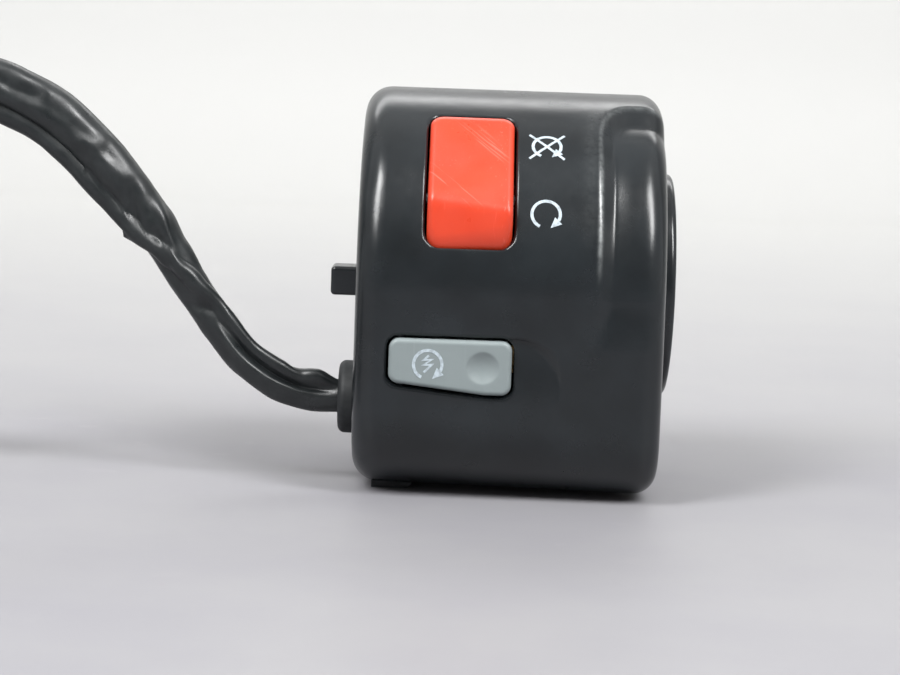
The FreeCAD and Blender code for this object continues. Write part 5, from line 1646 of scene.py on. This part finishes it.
    def solid(
        self,
        side: Side,
        across: list[tuple[float, float]],
        around: list[tuple[int, float]],
        base_inset: float,
        past: float,
    ) -> bpy.types.Object:
        """A half's outer form as a closed solid.

        Args:
            side: Which half.
            across: Places along the handlebar with their insets.
            around: Places round the half.
            base_inset: Inset all over; 0 is the outer surface with its details.
            past: How far the solid runs past the parting plane.

        Returns:
            The solid.
        """
        mesh = bmesh.new()
        bmesh.ops.create_grid(mesh, x_segments=len(across) - 1, y_segments=len(around) - 1, size=1.0)
        columns = sorted({round(vertex.co.x, 6) for vertex in mesh.verts})
        rows = sorted({round(vertex.co.y, 6) for vertex in mesh.verts})
        column_of = {value: index for index, value in enumerate(columns)}
        row_of = {value: index for index, value in enumerate(rows)}
        table = {}
        for vertex in mesh.verts:
            i, j = column_of[round(vertex.co.x, 6)], row_of[round(vertex.co.y, 6)]
            table[i, j] = vertex
            (x, inset), (segment, share) = across[i], around[j]
            place, normal, along = self.profile(side, segment, share, x, inset + base_inset)
            if not base_inset:
                reach = self.radius if side is Side.RIDER else self.front_reach
                corner = self.front_corner
                if side is Side.RIDER:
                    corner = self.lower_corner + self.corner_slope * x
                bottom = (reach - corner) * (1 - share) if segment == 3 else math.inf
                place -= normal * self.drop(side, x, along, bottom)
            if abs(place.y) < 1e-6:
                place.y = -side.value * past
            vertex.co = place
        last_column, last_row = len(columns) - 1, len(rows) - 1
        closing = []
        for i in (0, last_column):
            seam = mesh.edges.new((table[i, 0], table[i, last_row]))
            closing.append(seam)
            rim = [mesh.edges.get((table[i, j], table[i, j + 1])) for j in range(last_row)]
            bmesh.ops.edgeloop_fill(mesh, edges=rim + [seam])
        for j in (0, last_row):
            closing += [mesh.edges.get((table[i, j], table[i + 1, j])) for i in range(last_column)]
        bmesh.ops.edgeloop_fill(mesh, edges=closing)
        return finish_mesh(f"{side.name.lower()}_form", mesh)

    def inner_space(self, side: Side, node: str) -> bpy.types.Object:
        """Everything hollow inside a half: a slightly smaller form less the construction's walls.

        Args:
            side: Which half.
            node: Name of its construction node.

        Returns:
            The hollow space as a solid.
        """
        low, high = self.hollow_inset - self.half_width, self.half_width - self.hollow_inset
        across = [(low, 0.0), (0.0, 0.0), (high, 0.0)]
        around = [(0, step / 48) for step in range(49)]
        around += [(1, 0.5), (1, 1.0)]
        around += [(2, step / 20) for step in range(1, 21)]
        around += [(3, 1.0)]
        space = self.solid(side, across, around, self.hollow_inset, 1.0)
        walls = bpy.data.objects.new("walls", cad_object(node).data.copy())
        bpy.context.scene.collection.objects.link(walls)
        mesh = bmesh.new()
        mesh.from_mesh(walls.data)
        bmesh.ops.remove_doubles(mesh, verts=mesh.verts, dist=1e-7)
        mesh.to_mesh(walls.data)
        mesh.free()
        combine(space, walls, Operation.CUT)
        return space

    def leaned(self, piece: bpy.types.Object) -> bpy.types.Object:
        """Turn a piece made upright over the bar to the stop switch's angle."""
        piece.data.transform(Matrix.Rotation(math.radians(90 - self.stop_angle), 4, "X"))
        return piece

    def lip(self, side: Side) -> bpy.types.Object:
        """Half of the round lip on the throttle side."""
        start, end, edge = self.half_width - 1.0, self.half_width + self.lip_reach, self.lip_round
        profile = [(start, self.sleeve_bore - 0.6), (start, self.lip_radius)]
        profile += rounded_corner((end - edge, self.lip_radius - edge), edge, QUARTER)
        profile += [(end, self.sleeve_bore + 0.5), (end - 0.5, self.sleeve_bore - 0.1)]
        profile.append((end - 0.5, self.sleeve_bore - 0.6))
        turn = Matrix.Rotation(math.pi if side is Side.FRONT else 0.0, 4, "X")
        return spun(profile, turn, math.pi, 60)

    def build(self, shelf: FinishShelf) -> None:
        """Make and dress both halves."""
        for side, node, name in (
            (Side.RIDER, "switch_housing", "rider_case"),
            (Side.FRONT, "clamp_housing", "front_case"),
        ):
            shell = self.solid(side, self.across_stations(side), self.around_stations(side), 0.0, 0.0)
            combine(shell, self.inner_space(side, node), Operation.CUT)
            combine(shell, self.lip(side), Operation.ADD)
            for tool in self.bores() + (self.rider_tools() if side is Side.RIDER else self.front_tools()):
                combine(shell, tool, Operation.CUT)
            if side is Side.RIDER:
                combine(shell, block(*self.lug, self.lug_edge, 5), Operation.ADD)
                combine(shell, self.foot_tab(), Operation.ADD)
            shell.name = name
            shade(shell, 38.0)
            shell.modifiers.new("even_shading", "WEIGHTED_NORMAL").keep_sharp = True
            self.mark_wear_and_painted_highlight(shell)
            shelf.dress(shell, CASE_PAINT)
            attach(shell, "root")
            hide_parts(node)
            report.info("%s: %d faces", name, len(shell.data.polygons))

    def bores(self) -> list[bpy.types.Object]:
        """The handlebar's and the throttle sleeve's way through the end walls."""
        sleeve = bar((20.0, 0, 0), (1, 0, 0), self.sleeve_bore, 12.0, 128)
        return [bar((-31.0, 0, 0), (1, 0, 0), self.bar_bore, 12.0, 128), sleeve]

    def rider_tools(self) -> list[bpy.types.Object]:
        """What is cut through the rider-side skin."""
        left, right = self.window[0] - self.cut_slack, self.window[1] + self.cut_slack
        outline = [(left, 0.0)]
        corner, reach = self.window_corner, self.rocker_sweep + self.cut_slack
        outline += rounded_corner((left + corner, reach - corner), corner, math.pi)
        outline += rounded_corner((right - corner, reach - corner), corner, QUARTER)
        outline += [(right, 0.0)]
        sweep = spun_disc(outline, Vector((0, 0, self.rocker_pivot)))
        keep = block((left - 5, -30, self.rocker_pivot + 0.35), (right + 5, 30, 50))
        combine(sweep, keep, Operation.SHARE)
        ring = self.button_way.ring()
        middle = Vector((-9.0, -11.0))
        levels = ((-36.0, True), (-36.0, False), (-27.0, False), (-27.0, True))
        button = lofted([[at(middle if pole else point, y) for point in ring] for y, pole in levels])
        hole = bar(self.grommet_start, (1, 0, 0), self.grommet_hole + self.cut_slack, 5.0)
        return [self.leaned(sweep), finish_mesh("button_way", button), hole]

    def front_tools(self) -> list[bpy.types.Object]:
        """What is cut through the front skin."""
        tools = []
        for height in self.screw_heights:
            place = (self.screw_x, 15.0, height)
            tools.append(bar(place, (0, 1, 0), self.screw_recess + self.cut_slack, 12.0))
        for height in self.port_heights:
            place = (self.port_x, 20.0, height)
            tools.append(bar(place, (0, 1, 0), self.port_radius + self.cut_slack, 8.0))
        return tools

    def foot_tab(self) -> bpy.types.Object:
        """Thin tab under the case with a ramp at its right end."""
        mesh = prism(self.tab, *self.tab_reach, lambda a, b, c: Vector((a, c, b)))
        round_edges(mesh, mesh.edges[:], self.tab_edge, 2)
        return finish_mesh("foot_tab", mesh)

    def mark_wear_and_painted_highlight(self, shell: bpy.types.Object) -> None:
        """Store on each point how much the paint is lightened there, for wear and for a painted highlight."""
        wear_and_painted_highlight = shell.data.attributes.new("wear_and_painted_highlight", "FLOAT", "POINT")
        for vertex, value in zip(shell.data.vertices, wear_and_painted_highlight.data):
            x, y, z = vertex.co / MM
            value.value = self.worn(x, y, z)

    def worn(self, x: float, y: float, z: float) -> float:
        """How much the paint is lightened at a place, for wear and for a painted highlight.

        Args:
            x: Place along the handlebar.
            y: Place forward of it.
            z: Height over it.

        Returns:
            The lightening, 0 to 1.
        """
        amount = 0.0
        # Light line along the throttle band's edge, strongest at mid height: partly wear, partly a painted
        # highlight of the edge
        if y < 0 and z > -10:
            out = math.hypot(y, z) if z > 0 else -y
            along = self.radius * math.atan2(-y, z) if z > 0 else self.radius * QUARTER - z
            if out > self.radius - 1.6:
                inside = self.band_inside(x, along)
                near = math.exp(-(((inside - 0.05) / 0.34) ** 2))
                high = 0.7 * eased((z - 2.0) / 9.0) * (1 - 0.7 * eased((z - 17.0) / 8.0))
                amount = max(amount, near * high)
                # Faint lighter haze just outside the band's edge, rising with height
                smear = math.exp(-(((inside + 1.6) / 1.2) ** 2)) * eased((z - 5) / 10.0) * 0.05
                amount = max(amount, smear)
        if y > -20.0 and z < -31.0:
            amount = max(amount, 0.12)
        return amount


def at(point: Vector, y: float) -> Vector:
    """A place over a point of the case's face.

    Args:
        point: The point, across and up.
        y: Its place forward of the bar's axis, negative towards the rider.

    Returns:
        The place.
    """
    return Vector((point.x, y, point.y))


def spun_disc(outline: Sequence[Corner], centre: Vector) -> bpy.types.Object:
    """A solid spun from an open outline whose two ends lie on its axis along X.

    Args:
        outline: Points of (along, radius) from the axis round and back to it.
        centre: A point that the axis goes through.

    Returns:
        The solid.
    """
    mesh = bmesh.new()
    verts = [bmesh.ops.create_vert(mesh, co=(along, 0, radius))["vert"][0] for along, radius in outline]
    edges = [mesh.edges.new(pair) for pair in zip(verts, verts[1:])]
    bmesh.ops.spin(
        mesh, geom=verts + edges, cent=(0, 0, 0), axis=(1, 0, 0), angle=2 * math.pi, steps=160, use_merge=True
    )
    bmesh.ops.remove_doubles(mesh, verts=mesh.verts, dist=1e-4)
    bmesh.ops.translate(mesh, vec=centre, verts=mesh.verts)
    return finish_mesh("spun_disc", mesh)


# Switches


@dataclass
class StopSwitch:
    """Red rocker of the stop switch."""

    angle: float = 37.25
    middle_x: float = -7.0
    width: float = 13.7
    pivot: float = 24.0
    sweep: float = 13.6
    underside: float = 25.5
    crest: float = 33.9
    ridge: float = -7.0
    ridge_lean: float = -0.14
    ridge_round: float = 0.32
    upper_slope: float = 0.1125
    lower_slope: float = 0.68
    corner: float = 2.2
    edge: float = 1.0
    hollow_wall: float = 1.6
    hollow_reach: float = 10.9
    hollow_levels: tuple = (25.0, 28.7)
    barrel: float = 2.6
    pin_bore: float = 1.25
    arm_length: float = 5.7
    arm_half: tuple = (1.5, 1.0)
    arm_tip: float = 1.2
    arm_top: float = 29.5
    wall_rings: int = 6
    edge_rings: int = 8
    cap_rings: int = 64

    def top(self, x: float, along: float) -> float:
        """Height of the rocker's top over a place, seen square to it.

        Args:
            x: Place along the handlebar.
            along: Place along the rocker.

        Returns:
            The height.
        """
        past = along - self.ridge - self.ridge_lean * (x - self.middle_x)
        return soft_lower(
            self.crest - self.upper_slope * past, self.crest + self.lower_slope * past, self.ridge_round
        )

    def settled(self, x: float, share: float, height: Callable[[float, float], float]) -> Vector:
        """A place on the rocker's side, whose ends are round about its pin.

        Args:
            x: Place along the handlebar.
            share: Place along the rocker as a share of its half length.
            height: Gives the height over a place.

        Returns:
            The place.
        """
        up = self.crest - 2
        for _ in range(6):
            along = share * math.sqrt(self.sweep**2 - (up - self.pivot) ** 2)
            up = height(x, along)
        return Vector((x, along, up))

    def rings(self) -> list[list[Vector]]:
        """Rings from the middle of the underside over the edge to the middle of the top."""
        low, high, half_length = self.middle_x - self.width / 2, self.middle_x + self.width / 2, self.sweep
        corners = ((low, -half_length), (high, -half_length), (high, half_length), (low, half_length))
        outline = RoundedOutline(corners, self.corner)
        rings = []
        for step in range(self.wall_rings):
            share = step / self.wall_rings

            def wall(x: float, along: float, share: float = share) -> float:
                """Height part of the way up the side."""
                return self.underside + (self.top(x, along) - self.edge - self.underside) * share

            rings.append([self.settled(point.x, point.y / half_length, wall) for point in outline.ring()])
        for step in range(self.edge_rings + 1):
            turn = QUARTER * step / self.edge_rings
            inset, below = self.edge * (1 - math.cos(turn)), self.edge * (1 - math.sin(turn))

            def shoulder(x: float, along: float, below: float = below) -> float:
                """Height on the rounded edge."""
                return self.top(x, along) - below

            edge = outline.ring(inset)
            rings.append([self.settled(point.x, point.y / half_length, shoulder) for point in edge])
        last = rings[-1]
        for step in range(1, self.cap_rings + 1):
            share = step / self.cap_rings
            middle = Vector((self.middle_x, 0, 0))
            flat = [point.lerp(middle, share) for point in last]
            rings.append([Vector((point.x, point.y, self.top(point.x, point.y))) for point in flat])
        return [[Vector((self.middle_x, 0, self.underside))] * len(last)] + rings

    def build(self, shelf: FinishShelf) -> None:
        """Make and dress the rocker."""
        low, high = self.middle_x - self.width / 2, self.middle_x + self.width / 2
        rocker = finish_mesh("rocker_cap", lofted(self.rings()), 40.0)
        left, right = low + self.hollow_wall, high - self.hollow_wall
        bottom, top = self.hollow_levels
        hollow = block((left, -self.hollow_reach, bottom), (right, self.hollow_reach, top))
        combine(rocker, hollow, Operation.CUT)
        barrel = bar((low, 0, self.pivot), (1, 0, 0), self.barrel, self.width)
        combine(rocker, barrel, Operation.ADD)
        half_width, half_depth = self.arm_half
        arm_low = self.pivot - self.arm_length
        arm_left, arm_right = self.middle_x - half_width, self.middle_x + half_width
        arm = block((arm_left, -half_depth, arm_low), (arm_right, half_depth, self.arm_top))
        combine(rocker, arm, Operation.ADD)
        tip = bar((arm_left, 0, arm_low), (1, 0, 0), self.arm_tip, 2 * half_width)
        combine(rocker, tip, Operation.ADD)
        pin_way = bar((low - 1, 0, self.pivot), (1, 0, 0), self.pin_bore, self.width + 2)
        combine(rocker, pin_way, Operation.CUT)
        rocker.data.transform(Matrix.Rotation(math.radians(90 - self.angle), 4, "X"))
        shade(rocker, 40.0)
        shelf.dress(rocker, RED_PLASTIC)
        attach(rocker, "rocker")
        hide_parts("stop_rocker")
        report.info("rocker_cap: %d faces", len(rocker.data.polygons))


@dataclass
class StartSwitch:
    """Grey start button."""

    outline: tuple = ((-19.2, -6.9), (-19.2, -13.95), (-3.9, -15.6), (0.5, -15.6), (0.5, -6.9))
    front: float = -33.2
    back: float = -27.6
    corner: float = 1.6
    edge: float = 0.7
    dimple: tuple = (-4.1, -11.2)
    dimple_radius: float = 2.6
    dimple_depth: float = 0.70
    dimple_round: float = 0.042
    hollow_across: Corner = (-15.2, -1.0)
    hollow_heights: Corner = (-12.45, -8.4)
    hollow_wall: float = 2.25
    nib_low: Corner = (-5.6, -12.7)
    nib_high: Corner = (-2.6, -9.7)
    nib_reach: float = -26.4
    pin_start: tuple = (-17.4, -29.9, -18.0)
    pin_bore: float = 0.85
    edge_rings: int = 6
    cap_rings: int = 56

    def face(self, point: Vector) -> float:
        """Level of the front over a point, with the thumb dimple."""
        out = (point - Vector(self.dimple)).length
        bowl = self.dimple_depth * (1 - (out / self.dimple_radius) ** 2)
        return self.front + max(0.0, -soft_lower(-bowl, 0.0, self.dimple_round))

    def rings(self) -> list[list[Vector]]:
        """Rings from the middle of the back over the edge to the middle of the dimple."""
        outline = RoundedOutline(self.outline, self.corner)
        middle = Vector(self.dimple)
        side = outline.ring()
        rings = [[at(middle, self.back)] * len(side), [at(point, self.back) for point in side]]
        for step in range(self.edge_rings + 1):
            turn = QUARTER * step / self.edge_rings
            inset, below = self.edge * (1 - math.cos(turn)), self.edge * (1 - math.sin(turn))
            rings.append([at(point, self.face(point) + below) for point in outline.ring(inset)])
        rim = outline.ring(self.edge)
        for step in range(1, self.cap_rings + 1):
            flat = [point.lerp(middle, step / self.cap_rings) for point in rim]
            rings.append([at(point, self.face(point)) for point in flat])
        return rings

    def build(self, shelf: FinishShelf) -> None:
        """Make and dress the button."""
        button = finish_mesh("start_cap", lofted(self.rings()), 40.0)
        (left, right), (bottom, top) = self.hollow_across, self.hollow_heights
        hollow = block((left, self.front + self.hollow_wall, bottom), (right, self.back + 2, top))
        combine(button, hollow, Operation.CUT)
        (left, bottom), (right, top) = self.nib_low, self.nib_high
        nib = block((left, self.front + 2.0, bottom), (right, self.nib_reach, top), 0.3)
        combine(button, nib, Operation.ADD)
        combine(button, bar(self.pin_start, (0, 0, 1), self.pin_bore, 14.0), Operation.CUT)
        shade(button, 30.0)
        shelf.dress(button, GREY_PLASTIC)
        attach(button, "start_lever")
        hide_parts("start_button")
        report.info("start_cap: %d faces", len(button.data.polygons))


# Printed marks


@dataclass
class Stroke:
    """Flat strokes that make up a printed mark, in millimetres about its middle."""

    mesh: bmesh.types.BMesh = field(default_factory=bmesh.new)
    sharpest: float = 0.45

    def strip(self, place: Callable[[float, float], Corner], steps: int) -> None:
        """Lay a strip whose length and width are mapped by a function.

        Args:
            place: Turns a share along and a side, both -1 to 1, into a place.
            steps: Steps along the strip.
        """
        made = bmesh.ops.create_grid(self.mesh, x_segments=steps, y_segments=1, size=1.0)["verts"]
        for vertex in made:
            across, up = place(vertex.co.x, vertex.co.y)
            vertex.co = Vector((across, up, 0))

    def line(self, start: Corner, end: Corner, width: float) -> None:
        """A straight stroke.

        Args:
            start: Its first end.
            end: Its second end.
            width: Its width.
        """
        first, run = Vector(start), Vector(end) - Vector(start)
        side = Vector((-run.y, run.x)).normalized() * width / 2
        self.strip(lambda a, b: tuple(first + run * (a + 1) / 2 + side * b), 8)

    def zigzag(self, corners: Sequence[Corner], width: float) -> None:
        """One stroke through several corners, with mitred edges.

        Args:
            corners: Its corners in order.
            width: Its width.
        """
        points = [Vector(corner) for corner in corners]
        runs = [(second - first).normalized() for first, second in zip(points, points[1:])]
        sides = [Vector((-run.y, run.x)) for run in runs]
        offsets = [sides[0]]
        for before, after in zip(sides, sides[1:]):
            middle = (before + after).normalized()
            offsets.append(middle / max(middle.dot(after), self.sharpest))
        offsets.append(sides[-1])

        def place(along: float, side: float) -> Corner:
            """Map the strip through the corners."""
            index = round((along + 1) / 2 * len(runs))
            return tuple(points[index] + offsets[index] * side * width / 2)

        self.strip(place, len(runs))

    def arc(self, radius: float, start: float, end: float, width: float) -> None:
        """A stroke round the middle.

        Args:
            radius: Its radius.
            start: Angle of its first end in degrees.
            end: Angle of its second end in degrees.
            width: Its width.
        """

        def place(along: float, side: float) -> Corner:
            """Map the strip round the circle."""
            angle = math.radians(start + (end - start) * (along + 1) / 2)
            reach = radius + side * width / 2
            return reach * math.cos(angle), reach * math.sin(angle)

        self.strip(place, 40)

    def point(self, tip: Corner, base: Corner, width: float) -> None:
        """An arrowhead.

        Args:
            tip: Its tip.
            base: Middle of its base.
            width: Width of its base.
        """
        first, run = Vector(base), Vector(tip) - Vector(base)
        side = Vector((-run.y, run.x)).normalized() * width / 2

        def place(along: float, across: float) -> Corner:
            """Map the strip so that it narrows towards the tip."""
            taper = side * across * (1 - along) / 2 * 0.98
            return tuple(first + run * (along + 1) / 2 + taper + side * across * 0.02)

        self.strip(place, 4)

    def finish(
        self, name: str, place: Callable[[float, float, float], Vector], thick: float
    ) -> bpy.types.Object:
        """Thicken the strokes and lay them on a surface.

        Args:
            name: Name of the piece.
            place: Turns a place on the mark and a height over the surface into a place on the part.
            thick: Thickness of the print.

        Returns:
            The printed mark.
        """
        bmesh.ops.recalc_face_normals(self.mesh, faces=self.mesh.faces)
        raised = bmesh.ops.extrude_face_region(self.mesh, geom=self.mesh.faces[:])
        top = [item for item in raised["geom"] if isinstance(item, bmesh.types.BMVert)]
        bmesh.ops.translate(self.mesh, vec=(0, 0, thick), verts=top)
        for vertex in self.mesh.verts:
            vertex.co = place(*vertex.co)
        return finish_mesh(name, self.mesh, 30.0)


@dataclass
class Marks:
    """Printed signs beside the rocker and on the button."""

    radius: float = 32.3
    mark_x: float = 5.15
    stop_at: float = 47.7
    run_at: float = 24.65
    ring: float = 2.27
    stroke: float = 0.5
    head_angle: float = -27.0
    head_way: float = 225.0
    head_length: float = 1.75
    head_width: float = 1.6
    button_face: float = -33.2
    button_mark: tuple = (-12.9, -10.9)
    bolt: tuple = ((0.18, 1.45), (-0.67, 0.71), (0.64, 0.82), (-0.67, -0.07), (0.64, 0.0), (-0.6, -1.3))
    print_height: float = 0.015
    thick: float = 0.03

    def on_case(self, angle: float) -> Callable[[float, float, float], Vector]:
        """Lay a mark on the case's round face at an angle above the horizon."""

        def place(across: float, up: float, height: float) -> Vector:
            """A place on the round face."""
            here = math.radians(angle) + up / self.radius
            reach = self.radius + self.print_height + height
            return Vector((self.mark_x + across, -reach * math.cos(here), reach * math.sin(here)))

        return place

    def on_button(self, across: float, up: float, height: float) -> Vector:
        """A place of the start mark on the button's flat face.

        Args:
            across: Place across the mark.
            up: Place up the mark.
            height: Height over the face.

        Returns:
            The place.
        """
        middle_x, middle_z = self.button_mark
        return Vector((middle_x + across, self.button_face - self.print_height - height, middle_z + up))

    def circular_arrow(self, stroke: Stroke) -> None:
        """A ring open at the bottom with an arrowhead at its lower right end."""
        stroke.arc(self.ring, 245.0, self.head_angle, self.stroke)
        angle, heading = math.radians(self.head_angle), math.radians(self.head_way)
        base = Vector((math.cos(angle), math.sin(angle))) * self.ring
        tip = base + Vector((math.cos(heading), math.sin(heading))) * self.head_length
        stroke.point(tuple(tip), tuple(base), self.head_width)

    def build(self, shelf: FinishShelf) -> None:
        """Make the three marks."""
        run, stop, start = Stroke(), Stroke(), Stroke()
        for stroke in (run, stop, start):
            self.circular_arrow(stroke)
        for sign in (1, -1):
            stop.line((-2.85, -2.7 * sign), (2.85, 2.7 * sign), self.stroke * 0.85)
        start.zigzag(self.bolt, self.stroke * 0.8)
        for stroke, name, place, body in (
            (run, "run_mark", self.on_case(self.run_at), "root"),
            (stop, "stop_mark", self.on_case(self.stop_at), "root"),
            (start, "start_mark", self.on_button, "start_lever"),
        ):
            mark = stroke.finish(name, place, self.thick)
            shelf.dress(mark, PALE_PRINT)
            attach(mark, body)
        report.info("marks: run, stop and start")


def main() -> None:
    """Build the studio, the harness, the case, the switches and their marks."""
    shelf = FinishShelf()
    Studio().build()
    Harness().build(shelf)
    Case().build(shelf)
    StopSwitch().build(shelf)
    StartSwitch().build(shelf)
    Marks().build(shelf)
    for node, finish in PLAIN_NODES.items():
        shelf.dress_node(node, finish)
    bpy.context.scene.view_settings.view_transform = "Standard"


if __name__ == "__main__":
    main()
